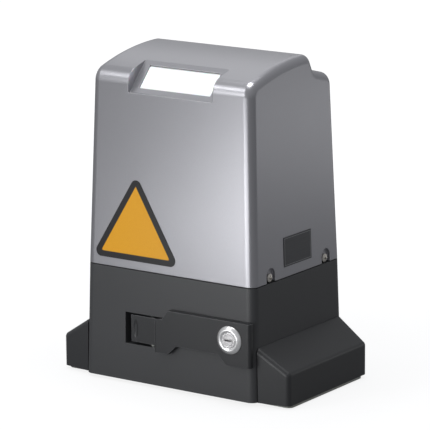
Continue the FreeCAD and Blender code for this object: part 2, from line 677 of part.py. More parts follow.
lamp_board = lamp_box("lens_half_x + lens_flange", "lens_centre - lens_half_w - lens_flange",
                      "lens_centre + lens_half_w + lens_flange", f"{BOARD_HIGH} - board_thick", BOARD_HIGH,
                      "LampBoard")
chips = []
for column in range(-3, 4):
    for line in SIDES:
        chip = lamp_box("1.4", f"lens_centre + {line} * 6 - 1.4", f"lens_centre + {line} * 6 + 1.4",
                        BOARD_HIGH, f"{BOARD_HIGH} + 1", "Chip")
        link(chip, "Placement.Base.x", f"{column} * 12")
        chips.append(chip)
node("lamp_board", fuse(lamp_board, *chips))

# ---- seal between the two rims, and the four cover screws ----
seal_out = housing_form("1.2", "housing_top", SEAM, "SealOuter")
seal_in = housing_form("3.2", "housing_top", SEAM, "SealInner")
node("cover_seal", cut(seal_out, seal_in))
screws = []
for sx, sy in CORNERS:
    seat = f"{sx} * ({RIM_X} - notch_deep)"
    head_end = f"{sx} * ({RIM_X} - notch_deep + 3)"
    tip = f"{sx} * (base_half_x - 19)"
    head = rod("screw_head_r", *((head_end, seat) if sx < 0 else (seat, head_end)), sy, "screw_z", "X")
    shank = rod("screw_r", *((seat, tip) if sx < 0 else (tip, seat)), sy, "screw_z", "X")
    cross = [box(f"{head_end} - 1.5", f"{head_end} + 1.5", f"{sy} - {a}", f"{sy} + {a}",
                 f"screw_z - {b}", f"screw_z + {b}") for a, b in ((0.6, 2.6), (2.6, 0.6))]
    screws.append(cut(fuse(head, shank), *cross))
node("cover_screws", group(*screws))

# ---- plates stuck on the cover: a blank triangle in front, a blank rating plate on the right ----
sign = prism("XZ_Plane", "0", "sticker_thick", [
    ("-sign_half", "0"), ("sign_half", "0"), ("0", "sign_tall")], name="Sign")
dress(sign, "sign_round", lambda edge: abs(edge.Vertexes[0].Y - edge.Vertexes[1].Y) > 0.1, "SignCorners")
sign.Placement.Rotation = FreeCAD.Rotation(V(1, 0, 0), -math.degrees(math.atan(value("cover_slope"))))
place(sign, "sign_centre_x", f"-{RIM_Y} + cover_slope * (sign_foot - {SEAM}) - 0.02", "sign_foot")
node("triangle_plate", sign)
label = prism("YZ_Plane", "0", "sticker_thick", [
    ("-label_half_y", "0"), ("label_half_y", "0"), ("label_half_y", "label_tall"),
    ("-label_half_y", "label_tall")], name="RatingPlate")
label.Placement.Rotation = FreeCAD.Rotation(V(0, 1, 0), -math.degrees(math.atan(value("cover_slope"))))
place(label, f"{RIM_X} - cover_slope * (label_foot - {SEAM}) + 0.02", "0", "label_foot")
node("rating_plate", label)

# ---- release lever: die-cast plate with two lobes, a tongue in the recess, a hub on the release shaft ----
lever = prism("XZ_Plane", "-lever_back", "lever_back - lever_front", [
    ("lever_left", "lever_foot"), ("lobe_left - lobe_step / 2", "lever_foot"),
    ("lobe_left + lobe_step / 2", "lever_waist"), ("lobe_right - lobe_step / 2", "lever_waist"),
    ("lobe_right + lobe_step / 2", "lever_foot"), ("lever_right", "lever_foot"),
    ("lever_right", "lever_top"), ("lobe_left - lobe_step / 2", "lever_top"),
    ("lever_left + 9", "lever_top - 9.5"), ("lever_left", "lever_top - 11")], name="Lever")
front_rim = value("lever_front")
dress(lever, "3.5", lambda edge: all(abs(v.X - value("lever_right")) < 0.1 and abs(v.Y - front_rim) < 0.1
                                     for v in edge.Vertexes), "LeverEnd")
tongue = box("tongue_left", "lever_left + 4", "tongue_front", "tongue_front + tongue_thick",
             "tongue_low", "tongue_high", "Tongue")
web = box("lever_left", "lever_left + 4", "lever_back - 1", "tongue_front + tongue_thick",
          "tongue_low", "tongue_high", "TongueWeb")
hub = rod("pin_r + 3", "tongue_low", "tongue_high", "pin_x", "pin_y", name="TongueHub")
lever_block = fuse(lever, tongue, web, hub, name="LeverBlock")
node("release_lever", cut(
    lever_block,
    rod("pin_r", "tongue_low - 1", "tongue_high + 1", "pin_x", "pin_y"),
    rod("lock_barrel_r", "lever_front - 1", "lever_back + 1", "lock_x", "lock_z", "Y"),
    name="ReleaseLever"))

# ---- release shaft: turns with the lever and carries the finger that pushes the fork ----
release_pin = rod("pin_r", "finger_low - 4", "recess_high + recess_wall + 3", "pin_x", "pin_y")
finger_hub = rod("pin_r + 1.5", "finger_low", "finger_high", "pin_x", "pin_y")
finger = box("pin_x - finger_reach", "pin_x", "pin_y - finger_half", "pin_y + finger_half",
             "finger_low", "finger_high", "Finger")
node("release_shaft", fuse(release_pin, finger_hub, finger))

# ---- key lock: chrome barrel with a ring, a turning core with its keyway, a cam behind the wall ----
ring = doc.addObject("Part::Cone", "LockRing")
link(ring, "Radius1", "lock_ring_r")
link(ring, "Radius2", "lock_ring_r - 2.5")
link(ring, "Height", "lever_front - lock_face")
ring.Placement.Rotation = FreeCAD.Rotation(V(1, 0, 0), 90)
place(ring, "lock_x", "lever_front", "lock_z")
barrel = rod("lock_barrel_r", "lever_front - 1", "lock_back", "lock_x", "lock_z", "Y")
node("lock_barrel", cut(fuse(ring, barrel), rod("lock_core_r + running", "lock_face - 1", "lock_back + 1",
                                                "lock_x", "lock_z", "Y")))
core = rod("lock_core_r", "lock_face + 0.8", "lock_back + 0.4", "lock_x", "lock_z", "Y")
stub = rod("lock_core_r - 4", "lock_back", "lock_back + 1.4 + cam_thick", "lock_x", "lock_z", "Y")
keyway = box("lock_x - 4.2", "lock_x + 4.2", "lock_face", "lock_face + 12", "lock_z - 0.9", "lock_z + 0.9")
node("lock_core", cut(fuse(core, stub), keyway))
cam = box("lock_x - 5", "lock_x + 5", "lock_back + 0.4", "lock_back + 0.4 + cam_thick",
          "lock_z - 6", "lock_z + cam_reach", "CamPlate")
node("lock_cam", cut(cam, rod("lock_core_r - 4", "lock_back", "lock_back + 2 + cam_thick",
                              "lock_x", "lock_z", "Y")))

# ---- release fork on its guide rod ----
WHEEL_BACK = "(wheel_y + wheel_width / 2)"
RING_FRONT = f"({WHEEL_BACK} + dog_length + 0.5)"
GROOVE_Y = f"({RING_FRONT} + groove_at)"
node("fork_rod", rod("rod_r", "bridge_front", "34", "rod_x", "rod_z", "Y"))
bar = box("bar_left", "bar_right", "fork_face", f"{GROOVE_Y} + groove_width - pass_gap",
          "finger_low", "finger_high", "PushBar")
fork_hub = rod("rod_r + 4", "-22", f"{GROOVE_Y} + groove_width - pass_gap", "rod_x", "rod_z", "Y")
fork_plate = box("bar_left", "ring_r + 3", f"{GROOVE_Y} + pass_gap", f"{GROOVE_Y} + groove_width - pass_gap",
                 "finger_low", "shaft_z", "ForkPlate")
node("release_fork", cut(
    fuse(bar, fork_hub, fork_plate),
    rod("rod_r + running", "-23", f"{GROOVE_Y} + groove_width", "rod_x", "rod_z", "Y"),
    rod("groove_r + pass_gap", GROOVE_Y, f"{GROOVE_Y} + groove_width", "0", "shaft_z", "Y")))

# ---- output shaft with its keys, bearings, seal, spacer and collar ----
SHAFT_END = "(pinion_y + pinion_width - 0.5)"
thin = rod("shaft_thin_r", "shaft_front", "bridge_front + bridge_thick + 1.2", "0", "shaft_z", "Y")
thick = rod("shaft_r", "bridge_front + bridge_thick + 1", SHAFT_END, "0", "shaft_z", "Y")
pinion_key = ("-key_half", "key_half", "pinion_y + 2", "pinion_y + pinion_width - 3",
              "shaft_z + shaft_r - 4", "shaft_z + shaft_r + 3")
clutch_key = ("-key_half", "key_half", RING_FRONT, f"{RING_FRONT} + ring_length + fork_travel",
              "shaft_z + shaft_r - 4", "shaft_z + shaft_r + 3")
node("output_shaft", cut(fuse(thin, thick), box(*pinion_key), box(*clutch_key),
                         rod("4", f"{SHAFT_END} - 18", f"{SHAFT_END} + 1", "0", "shaft_z", "Y")))
node("shaft_keys", group(box(*pinion_key), box(*clutch_key)))


def ring_of(outer, inner, start, end, u, v, along):
    """Plain ring: a bearing, seal, spacer or collar."""
    return cut(rod(outer, start, end, u, v, along), rod(inner, f"{start} - 1", f"{end} + 1", u, v, along))


def bearing(outer, inner, start, end, u, v, along):
    """Ball bearing: two races and a shielded middle, as one ring with a shallow groove each side."""
    whole = ring_of(outer, inner, start, end, u, v, along)
    middle = f"(({outer}) + ({inner})) / 2"
    grooves = [ring_of(f"{middle} + 1.6", f"{middle} - 1.6", a, b, u, v, along)
               for a, b in ((f"{start} - 1", f"{start} + 0.6"), (f"{end} - 0.6", f"{end} + 1"))]
    return cut(whole, *grooves)


front_bearing = bearing("front_bearing_r", "shaft_thin_r", "bridge_front + 0.5",
                        "bridge_front + bridge_thick - 0.5", "0", "shaft_z", "Y")
rear_bearing = bearing("rear_bearing_r", "shaft_r", "rear_bearing_y", "rear_bearing_y + rear_bearing_w",
                       "0", "shaft_z", "Y")
node("output_bearings", group(front_bearing, rear_bearing))
SEAL_Y = "(rear_bearing_y + rear_bearing_w + 0.3)"
node("oil_seal", ring_of("rear_bearing_r", "shaft_r + 3.3", SEAL_Y, f"{SEAL_Y} + seal_w", "0", "shaft_z", "Y"))
node("shaft_spacer", ring_of("shaft_r + 3", "shaft_r", "rear_bearing_y + rear_bearing_w", "pinion_y",
                             "0", "shaft_z", "Y"))
node("spring_collar", ring_of("spring_r + 2", "shaft_r", "collar_y", "collar_y + collar_w", "0", "shaft_z", "Y"))

# ---- clutch spring, shown at its shortest length, against the collar ----
COIL_START = number_of(f"{RING_FRONT} + ring_length + fork_travel + 1.5")
COIL_END = number_of("collar_y - spring_wire / 2 - 0.1")
coil_path = Part.makeHelix((COIL_END - COIL_START) / 4, COIL_END - COIL_START, value("spring_r") - 1)
coil_circle = Part.Circle(V(value("spring_r") - 1, 0, 0), V(0, 1, 0), value("spring_wire") / 2).toShape()
coil = Part.Wire(coil_path).makePipeShell([Part.Wire(coil_circle)], True, True)
clutch_spring = solid(coil, "ClutchSpring")
clutch_spring.Placement = FreeCAD.Placement(V(0, COIL_START, value("shaft_z")), DOWN_TO_Y)
node("clutch_spring", clutch_spring)


# ---- gears ----
def tooth_outline(module, teeth, backlash, count_from=0):
    """Corner points of a gear with straight-flanked teeth, round the origin."""
    pitch_r = module * teeth / 2
    half_root = math.pi / teeth * 0.72 - backlash / pitch_r / 2
    half_pitch = math.pi / teeth / 2 - backlash / pitch_r / 2
    half_tip = math.pi / teeth * 0.24 - backlash / pitch_r / 2
    points = []
    for tooth in range(teeth):
        middle = (tooth + count_from) * 2 * math.pi / teeth
        for radius, turn in ((pitch_r - 1.25 * module, -half_root), (pitch_r, -half_pitch),
                             (pitch_r + module, -half_tip), (pitch_r + module, half_tip),
                             (pitch_r, half_pitch), (pitch_r - 1.25 * module, half_root)):
            points.append(V(radius * math.cos(middle + turn), 0, radius * math.sin(middle + turn)))
    return points


def spur(module, teeth, backlash, width, count_from=0):
    """Toothed disc, thickened along +Y."""
    points = tooth_outline(module, teeth, backlash, count_from)
    face = Part.Face(Part.makePolygon(points + points[:1]))
    return face.extrude(V(0, width, 0))


pinion_teeth = solid(spur(value("pinion_module"), int(value("pinion_teeth")), 0.2, value("pinion_width")), "PinionTeeth")
pinion_teeth.Placement.Base = V(0, value("pinion_y"), value("shaft_z"))
node("output_pinion", cut(pinion_teeth, rod("shaft_r", "pinion_y - 1", "pinion_y + pinion_width + 1", "0", "shaft_z", "Y"),
                          box(*pinion_key)))
washer_start = "pinion_y + pinion_width"
node("pinion_washer", ring_of("14", "4.2", washer_start, f"{washer_start} + 2.5", "0", "shaft_z", "Y"))
bolt_head = doc.addObject("Part::Prism", "BoltHead")
bolt_head.Polygon = 6
link(bolt_head, "Circumradius", "7.5")
link(bolt_head, "Height", "5.3")
bolt_head.Placement.Rotation = DOWN_TO_Y
place(bolt_head, "0", f"{washer_start} + 2.5", "shaft_z")
node("pinion_bolt", fuse(bolt_head, rod("4", f"{washer_start} - 16", f"{washer_start} + 3", "0", "shaft_z", "Y")))

BACKLASH = 0.75
half_turn = 0.5
wheel_blank = solid(spur(value("gear_module"), int(value("wheel_teeth")), BACKLASH, value("wheel_width"), half_turn),
                    "WheelTeeth")
wheel_blank.Placement.Base = V(0, value("wheel_y") - value("wheel_width") / 2, value("shaft_z"))
wheel_hub = rod("shaft_r + 4", "bridge_front + bridge_thick + 1.4", WHEEL_BACK, "0", "shaft_z", "Y")


def dogs(start, end, turn):
    """Four clutch dogs, 90 degrees apart, between two places along Y."""
    blocks = []
    for quarter in range(4):
        block = box("-4", "4", "0", f"({end}) - ({start})", "ring_r - 10", "ring_r - 2", "Dog")
        blocks.append(block)
        carrier = group(block)
        carrier.Placement.Rotation = FreeCAD.Rotation(V(0, 1, 0), turn + 90 * quarter)
        place(carrier, "0", start, "shaft_z")
        blocks[-1] = carrier
    return blocks


wheel_dogs = dogs(f"{WHEEL_BACK} - 0.5", f"{WHEEL_BACK} + dog_length", 45)
node("worm_wheel", cut(fuse(wheel_blank, wheel_hub, *wheel_dogs),
                       rod("shaft_r + running", "wheel_y - 40", "wheel_y + 40", "0", "shaft_z", "Y")))
ring_body = rod("ring_r", RING_FRONT, f"{RING_FRONT} + ring_length", "0", "shaft_z", "Y")
ring_dogs = dogs(f"{RING_FRONT} - dog_length", f"{RING_FRONT} + 0.5", 0)
groove = ring_of("ring_r + 1", "groove_r", GROOVE_Y, f"{GROOVE_Y} + groove_width", "0", "shaft_z", "Y")
key_way = box("-key_half - 0.1", "key_half + 0.1", f"{RING_FRONT} - 8", f"{RING_FRONT} + ring_length + 1",
              "shaft_z", "shaft_z + shaft_r + 3.1")
node("clutch_ring", cut(fuse(ring_body, *ring_dogs), groove, key_way,
                        rod("shaft_r + running", f"{RING_FRONT} - 1", f"{RING_FRONT} + ring_length + 1",
                            "0", "shaft_z", "Y")))

# ---- worm shaft: one piece with the rotor's shaft, upright through the lid ----
WORM_TOP = "(motor_high + motor_cap - 6)"
lead_of_worm = math.pi * value("gear_module")
low_r = value("worm_pitch_r") - 1.3 * value("gear_module")
tip_r = value("worm_pitch_r") + value("gear_module")
path = Part.makeHelix(lead_of_worm, 2 * value("worm_half"), value("worm_pitch_r"))
thread_profile = Part.makePolygon([
    V(low_r, 0, -1.35), V(tip_r, 0, -0.35), V(tip_r, 0, 0.35), V(low_r, 0, 1.35), V(low_r, 0, -1.35)])
thread = solid(Part.Wire(path).makePipeShell([thread_profile], True, True), "WormThread")
thread_turn = -360 * ((value("worm_half") - lead_of_worm / 2) / lead_of_worm % 1)
thread.Placement = FreeCAD.Placement(
    V(number_of(CENTRE_X), value("wheel_y"), value("shaft_z") - value("worm_half")),
    FreeCAD.Rotation(V(0, 0, 1), thread_turn))
worm_core = rod("worm_pitch_r - 1.25 * gear_module", "shaft_z - worm_half - 3", "shaft_z + worm_half + 3",
                CENTRE_X, "wheel_y")
long_shaft = rod("worm_shaft_r", f"{FLOOR} + 22.5", WORM_TOP, CENTRE_X, "wheel_y")
node("worm_shaft", fuse(long_shaft, worm_core, thread))
lower_bearing = bearing("worm_bearing_r", "worm_shaft_r", f"{FLOOR} + 22", f"{FLOOR} + 22 + worm_bearing_w",
                        CENTRE_X, "wheel_y", "Z")
middle_bearing = bearing("worm_bearing_r", "worm_shaft_r", f"{LID_LOW} - 4", f"{LID_LOW} - 4 + worm_bearing_w",
                         CENTRE_X, "wheel_y", "Z")
top_bearing = bearing("worm_bearing_r", "worm_shaft_r", "motor_high + 2", "motor_high + 2 + worm_bearing_w",
                      CENTRE_X, "wheel_y", "Z")
node("worm_bearings", group(lower_bearing, middle_bearing, top_bearing))

# ---- gearbox lid: closes the housing and carries the motor and the electrics ----
lid_plate = box("-base_half_x + 8.5", "base_half_x - 8.5", "-base_half_y + 8.5", "base_half_y - 8.5",
                LID_LOW, "lid_top", "LidPlate")
lid_boss = rod("worm_bearing_r + 4", f"{LID_LOW} - 5", f"{LID_LOW} + 1", CENTRE_X, "wheel_y")
lid_holes = [
    rod("worm_bearing_r", f"{LID_LOW} - 6", f"{LID_LOW} + 4", CENTRE_X, "wheel_y"),
    rod("worm_shaft_r + 3", f"{LID_LOW} + 3", "lid_top + 1", CENTRE_X, "wheel_y"),
]
for sx, sy in CORNERS:
    inner = f"{sx} * (base_half_x - 20)"
    outer = f"{sx} * base_half_x"
    x0, x1 = (outer, inner) if sx < 0 else (inner, outer)
    lid_holes.append(box(x0, x1, f"{sy} - 9", f"{sy} + 9", f"{LID_LOW} - 1", "lid_top + 1"))
lid_screws = []
for x in ("-72", "50"):
    for sy in SIDES:
        y = f"{sy} * (base_half_y - 12)"
        lid_holes.append(rod("2.5", f"{LID_LOW} - 1", "lid_top + 1", x, y))
        lid_screws.append(fuse(rod("2.5", LID_LOW, "lid_top + 1", x, y), rod("4.5", "lid_top", "lid_top + 3", x, y)))
node("gearbox_lid", cut(fuse(lid_plate, lid_boss), *lid_holes))
node("lid_screws", group(*lid_screws))

# ---- motor: flange, frame tube, stator, windings, rotor, upper cap, tie bolts ----
M = (CENTRE_X, "wheel_y")
ears = []
bolt_places = []
for quarter in range(4):
    turn = math.radians(45 + 90 * quarter)
    bolt_places.append((f"{CENTRE_X} + {math.cos(turn):.6f} * (motor_r + 3.5)",
                        f"wheel_y + {math.sin(turn):.6f} * (motor_r + 3.5)"))


def motor_end(low, high):
    """End casting with four bolt ears."""
    return fuse(rod("motor_r", low, high, *M), *[rod("5.5", low, high, *spot) for spot in bolt_places])


def bolt_holes(low, high):
    return [rod("2.5", low, high, *spot) for spot in bolt_places]


node("motor_flange", cut(motor_end("lid_top", "motor_low"), rod("worm_shaft_r + 3", "lid_top - 1", "motor_low + 1", *M),
                         rod("motor_r - 6", "motor_low - 3", "motor_low + 1", *M),
                         *bolt_holes("lid_top - 1", "motor_low + 1")))
node("motor_frame", ring_of("motor_r", "motor_r - 3", "motor_low", "motor_high", *M, "Z"))
node("stator_core", ring_of("motor_r - 3", "rotor_r + air_gap", "motor_low + 12", "motor_high - 12", *M, "Z"))
windings = [ring_of("motor_r - 5", "rotor_r + 3", low, high, *M, "Z")
            for low, high in (("motor_low + 2", "motor_low + 12"), ("motor_high - 12", "motor_high - 2"))]
node("stator_windings", group(*windings))
node("rotor_core", ring_of("rotor_r", "worm_shaft_r", "motor_low + 10", "motor_high - 10", *M, "Z"))
cap = motor_end("motor_high", "motor_high + motor_cap")
node("motor_cap", cut(cap, rod("worm_bearing_r", "motor_high - 1", "motor_high + 2 + worm_bearing_w", *M),
                      rod("worm_shaft_r + 2", "motor_high", "motor_high + motor_cap - 4", *M),
                      *bolt_holes("motor_high - 1", "motor_high + motor_cap + 1")))
ties = [fuse(rod("2.5", "lid_top + 1", "motor_high + motor_cap + 1", *spot),
             rod("4.5", "motor_high + motor_cap", "motor_high + motor_cap + 3.5", *spot)) for spot in bolt_places]
node("motor_bolts", group(*ties))

# ---- electrics on the lid: transformer, capacitor in its clamp, control board on its bracket ----
T = ("transformer_x", "transformer_y")
laminations = box("transformer_x - 30", "transformer_x + 30", "transformer_y - 11", "transformer_y + 11",
                  "lid_top", "lid_top + 50", "Laminations")
bobbin_space = box("transformer_x - 20", "transformer_x + 20", "transformer_y - 12", "transformer_y + 12",
                   "lid_top + 10", "lid_top + 40", "BobbinSpace")
limb = box("transformer_x - 10", "transformer_x + 10", "transformer_y - 11", "transformer_y + 11",
           "lid_top + 9", "lid_top + 41", "Limb")
node("transformer_core", fuse(cut(laminations, bobbin_space), limb))
bobbin = box("transformer_x - 19.8", "transformer_x + 19.8", "transformer_y - 22", "transformer_y + 22",
             "lid_top + 10.2", "lid_top + 39.8", "Bobbin")
node("transformer_coil", cut(bobbin, box("transformer_x - 10", "transformer_x + 10", "transformer_y - 11",
                                         "transformer_y + 11", "lid_top + 9", "lid_top + 41")))
can = rod("can_r", "lid_top + 1.5", "lid_top + 1.5 + can_tall", "can_x", "can_y")
pins = [rod("1.5", "lid_top + 1 + can_tall", "lid_top + can_tall + 9", f"can_x + {side} * 7", "can_y")
        for side in SIDES]
node("motor_capacitor", fuse(can, *pins))
clamp_foot = rod("can_r + 4", "lid_top", "lid_top + 1.5", "can_x", "can_y")
clamp_wall = ring_of("can_r + 2", "can_r", "lid_top + 1", "lid_top + 14", "can_x", "can_y", "Z")
node("capacitor_clamp", fuse(clamp_foot, clamp_wall))
bracket_back = box("board_left", "board_right", "board_y + 4", "board_y + 6", "lid_top", "board_high - 5", "BracketBack")
bracket_foot = box("board_left", "board_right", "board_y + 4", "board_y + 16", "lid_top", "lid_top + 2", "BracketFoot")
spacers = [rod("3", "board_y", "board_y + 5", x, z, "Y") for x in ("board_left + 6", "board_right - 6")
           for z in ("board_low + 8", "board_high - 12")]
node("board_bracket", fuse(bracket_back, bracket_foot, *spacers))
board = box("board_left", "board_right", "board_y - board_thick", "board_y", "board_low", "board_high", "Board")
FACE = "(board_y - board_thick)"
blocks = [box(f"board_left + 3 + {start}", f"board_left + 24 + {start}", f"{FACE} - 11", FACE,
              "board_low + 4", "board_low + 14", "Terminals") for start in (0, 22, 44)]
node("terminal_blocks", group(*blocks))
relays = [box(f"board_left + 8 + {start}", f"board_left + 23 + {start}", f"{FACE} - 15", FACE,
              "board_low + 30", "board_low + 49", "Relay") for start in (0, 19, 38)]
node("board_relays", group(*relays))
fuse_body = rod("2.6", "board_left + 12", "board_left + 32", f"{FACE} - 5", "board_low + 62", "X")
fuse_clips = [box(f"board_left + {start}", f"board_left + {start} + 6", f"{FACE} - 5", FACE,
                  "board_low + 59", "board_low + 65", "FuseClip") for start in (11, 27)]
node("board_fuse", fuse(fuse_body, *fuse_clips))
node("radio_receiver", box("board_right - 22", "board_right - 19", f"{FACE} - 13", FACE,
                           "board_low + 56", "board_low + 96", "Receiver"))
processor = box("board_left + 14", "board_left + 38", f"{FACE} - 3", FACE, "board_low + 84", "board_low + 94")
display = box("board_left + 20", "board_left + 30", f"{FACE} - 4", FACE, "board_low + 103", "board_low + 111")
node("control_board", fuse(board, processor, display))

# ---- limit switch: box on the housing's back wall, lid, shaft with cam, two switches, upright spring ----
limit_box = box("-limit_half_x", "limit_half_x", "limit_front", "limit_back - 2", "limit_low", "limit_high", "LimitBox")
limit_space = box("-limit_half_x + 2", "limit_half_x - 2", "limit_front + 2", "limit_back",
                  "limit_low + 2", "limit_high - 2", "LimitSpace")
node("limit_switch_box", cut(limit_box, limit_space))
limit_lid = box("-limit_half_x", "limit_half_x", "limit_back - 2", "limit_back", "limit_low", "limit_high", "LimitLid")
node("limit_switch_lid", cut(limit_lid, rod("3 + running", "limit_back - 3", "limit_back + 1", "0", "limit_z", "Y")))
switch_pair = []
for sx in SIDES:
    x_out = f"{sx} * (limit_half_x - 2)"
    x_in = f"{sx} * 10"
    x0, x1 = (x_out, x_in) if sx < 0 else (x_in, x_out)
    switch_pair.append(box(x0, x1, "limit_front + 2", "limit_front + 14", "limit_low + 2", "limit_low + 18", "Switch"))
node("limit_switches", group(*switch_pair))
limit_shaft = rod("3", "limit_front + 4", "limit_back + 4", "0", "limit_z", "Y")
limit_cam = rod("7", "limit_front + 6", "limit_front + 10", "0", "limit_z", "Y")
limit_nose = box("-2", "2", "limit_front + 6", "limit_front + 10", "limit_z", "limit_z + 9", "Nose")
node("limit_shaft", fuse(limit_shaft, limit_cam, limit_nose))
hub_round = rod("9", "limit_back + 0.5", "limit_back + 9", "0", "limit_z", "Y")
node("limit_hub", cut(hub_round, rod("3", "limit_back", "limit_back + 4", "0", "limit_z", "Y")))
tip = doc.addObject("Part::Sphere", "SpringTip")
link(tip, "Radius", "whisker_r")
place(tip, "0", "limit_back + 4.7", "whisker_top")
node("limit_spring", fuse(cut(rod("whisker_r", "limit_z + 6", "whisker_top", "0", "limit_back + 4.7"),
                              rod("9", "limit_back", "limit_back + 9.4", "0", "limit_z", "Y")), tip))

# ---- cable grommet in the floor ----
grommet_tube = rod("grommet_r", "0", f"{FLOOR} + 4", "entry_x", "entry_y")
grommet_lip = rod("grommet_r + 3", FLOOR, f"{FLOOR} + 4", "entry_x", "entry_y")
node("cable_grommet", cut(fuse(grommet_tube, grommet_lip), rod("entry_r", "-1", f"{FLOOR} + 5", "entry_x", "entry_y")))


# ---- motor lead: from the motor cap, round the board's edge, into the terminal block ----
def tube_path(points, share=0.48):
    """Straight runs joined by tangent arcs, each as large as its two runs allow."""
    edges = []
    here = points[0]
    radii = []
    for before, corner, after in zip(points, points[1:], points[2:]):
        run_in = (corner - before).normalize()
        run_out = (after - corner).normalize()
        half_turn = run_in.getAngle(run_out) / 2
        reach = share * min((corner - before).Length, (after - corner).Length)
        radius = reach / math.tan(half_turn)
        start = corner - run_in * reach
        end = corner + run_out * reach
        inward = (run_out - run_in).normalize()
        middle = corner + inward * (radius / math.cos(half_turn) - radius)
        edges += [Part.LineSegment(here, start).toShape(), Part.Arc(start, middle, end).toShape()]
        radii.append(radius)
        here = end
    edges.append(Part.LineSegment(here, points[-1]).toShape())
    return Part.Wire(edges), radii


exit_x = number_of(CENTRE_X) - 30
exit_y = value("wheel_y") - 21
exit_z = value("motor_high") + value("motor_cap")
entry_y = number_of(FACE) - 5.5
entry_z = value("board_low") + 9
lead_points = [
    V(exit_x, exit_y, exit_z), V(exit_x, exit_y, exit_z + 26), V(exit_x - 14, exit_y - 21, exit_z + 26),
    V(exit_x - 14, exit_y - 22, exit_z - 20), V(exit_x, entry_y, entry_z),
    V(value("board_left") + 68, entry_y, entry_z)]
lead_wire, lead_radii = tube_path(lead_points)
lead_circle = Part.Circle(lead_points[0], (lead_points[1] - lead_points[0]).normalize(), value("lead_r")).toShape()
node("motor_lead", solid(lead_wire.makePipeShell([Part.Wire(lead_circle)], True, False), "MotorLead"))

# ---- check every object, then write one file per node ----
doc.recompute()
failed = [item.Name for item in doc.Objects if {"Invalid", "Error"} & set(item.State)]
if failed:
    raise RuntimeError(f"failed objects: {failed}")
for item in NODES:
    if item.Shape.isNull() or not item.Shape.isValid() or not item.Shape.Solids:
        raise RuntimeError(f"bad shape: {item.Label}")
os.makedirs("parts", exist_ok=True)
for item in NODES:
    item.Shape.exportStep(f"parts/{item.Label}.step")
print(f"{len(NODES)} nodes; lead radii {[round(r, 1) for r in lead_radii]}")
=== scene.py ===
import math
import bpy
import numpy as np
from mathutils import Matrix, Vector


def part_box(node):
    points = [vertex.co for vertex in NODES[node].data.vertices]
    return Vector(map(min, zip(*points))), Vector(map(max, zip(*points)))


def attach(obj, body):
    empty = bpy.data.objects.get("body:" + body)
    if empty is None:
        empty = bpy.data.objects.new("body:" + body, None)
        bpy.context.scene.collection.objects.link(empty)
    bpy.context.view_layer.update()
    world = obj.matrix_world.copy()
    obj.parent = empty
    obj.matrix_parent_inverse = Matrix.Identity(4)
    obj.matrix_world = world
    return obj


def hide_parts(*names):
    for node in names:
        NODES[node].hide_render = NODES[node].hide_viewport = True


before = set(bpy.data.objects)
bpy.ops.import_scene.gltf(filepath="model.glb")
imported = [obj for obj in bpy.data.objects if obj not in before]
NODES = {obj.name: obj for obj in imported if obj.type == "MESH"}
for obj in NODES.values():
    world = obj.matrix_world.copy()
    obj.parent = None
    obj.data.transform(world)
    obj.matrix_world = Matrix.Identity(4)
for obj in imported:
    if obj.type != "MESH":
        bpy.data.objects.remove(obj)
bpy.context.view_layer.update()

# ---- Camera and studio ----
# The machine stands on white paper among soft boxes: four in front for the walls, two high in front for the
# top's front edge, a large one overhead, and two behind that draw the back edges.
scene = bpy.context.scene
scene.view_settings.view_transform = "Standard"

azimuth = math.radians(35.03)
elevation = math.radians(13.02)
roll = math.radians(-0.445)
distance = 3.0113
look_at_right = 0.001452
look_at_height = 0.16298
to_right = Vector((math.cos(azimuth), math.sin(azimuth), 0))
look_at = to_right * look_at_right + Vector((0, 0, look_at_height))
outward = Vector((math.sin(azimuth) * math.cos(elevation), -math.cos(azimuth) * math.cos(elevation),
                  math.sin(elevation)))
lens = bpy.data.cameras.new("camera")
lens.lens = 252.2
lens.sensor_width = 36
lens.clip_end = 20
camera = bpy.data.objects.new("camera", lens)
scene.collection.objects.link(camera)
camera.location = look_at + outward * distance
turned_to_machine = (-outward).to_track_quat("-Z", "Y").to_matrix()
camera.rotation_euler = (turned_to_machine @ Matrix.Rotation(roll, 3, "Z")).to_euler()
scene.camera = camera

front_wall = (0.0, -0.08, 0.20)
housing_foot = (0.0, -0.08, 0.05)
front_brow = (0.0, -0.06, 0.30)
# Each box has its place, the point it faces, its width and height, and its watts.
soft_boxes = {
    "front_left_low": ((-0.30, -0.85, 0.06), front_wall, 0.20, 0.20, 0.504),
    "front_near": ((0.02, -0.60, 0.08), front_wall, 0.44, 0.26, 1.2),
    "front_left_high": ((-0.35, -0.85, 0.50), front_wall, 0.25, 0.25, 1.217),
    "front_floor_strip": ((-0.30, -0.70, 0.03), housing_foot, 0.30, 0.05, 0.159),
    "brow_front": ((-0.42, -0.62, 0.84), front_brow, 0.30, 0.15, 1.077),
    "brow_left": ((-0.50, -0.45, 0.95), front_brow, 0.30, 0.15, 0.296),
    "back_right": ((0.60, 1.00, 0.10), (0.10, 0.0, 0.20), 0.80, 0.18, 0.359),
    "overhead": ((0.0, 0.0, 1.40), (0.0, 0.001, 0.30), 0.70, 0.50, 11.034),
    "back_left_high": ((-0.50, 0.80, 1.00), (0.0, 0.0, 0.30), 0.70, 0.50, 0.604),
}
for name, (place, facing, width, height, watts) in soft_boxes.items():
    lamp = bpy.data.lights.new(name, "AREA")
    lamp.shape = "RECTANGLE"
    lamp.size = width
    lamp.size_y = height
    lamp.energy = watts
    box = bpy.data.objects.new(name, lamp)
    box.location = place
    box.rotation_euler = (Vector(facing) - Vector(place)).to_track_quat("-Z", "Y").to_euler()
    box.visible_camera = False
    scene.collection.objects.link(box)

# ---- Room and sweep ----
# The room is a dim, even fill. It and the seamless paper under the machine are white to the camera, and the
# same white faintly in gloss and in clear plastic, so that they don't light the machine's sides.


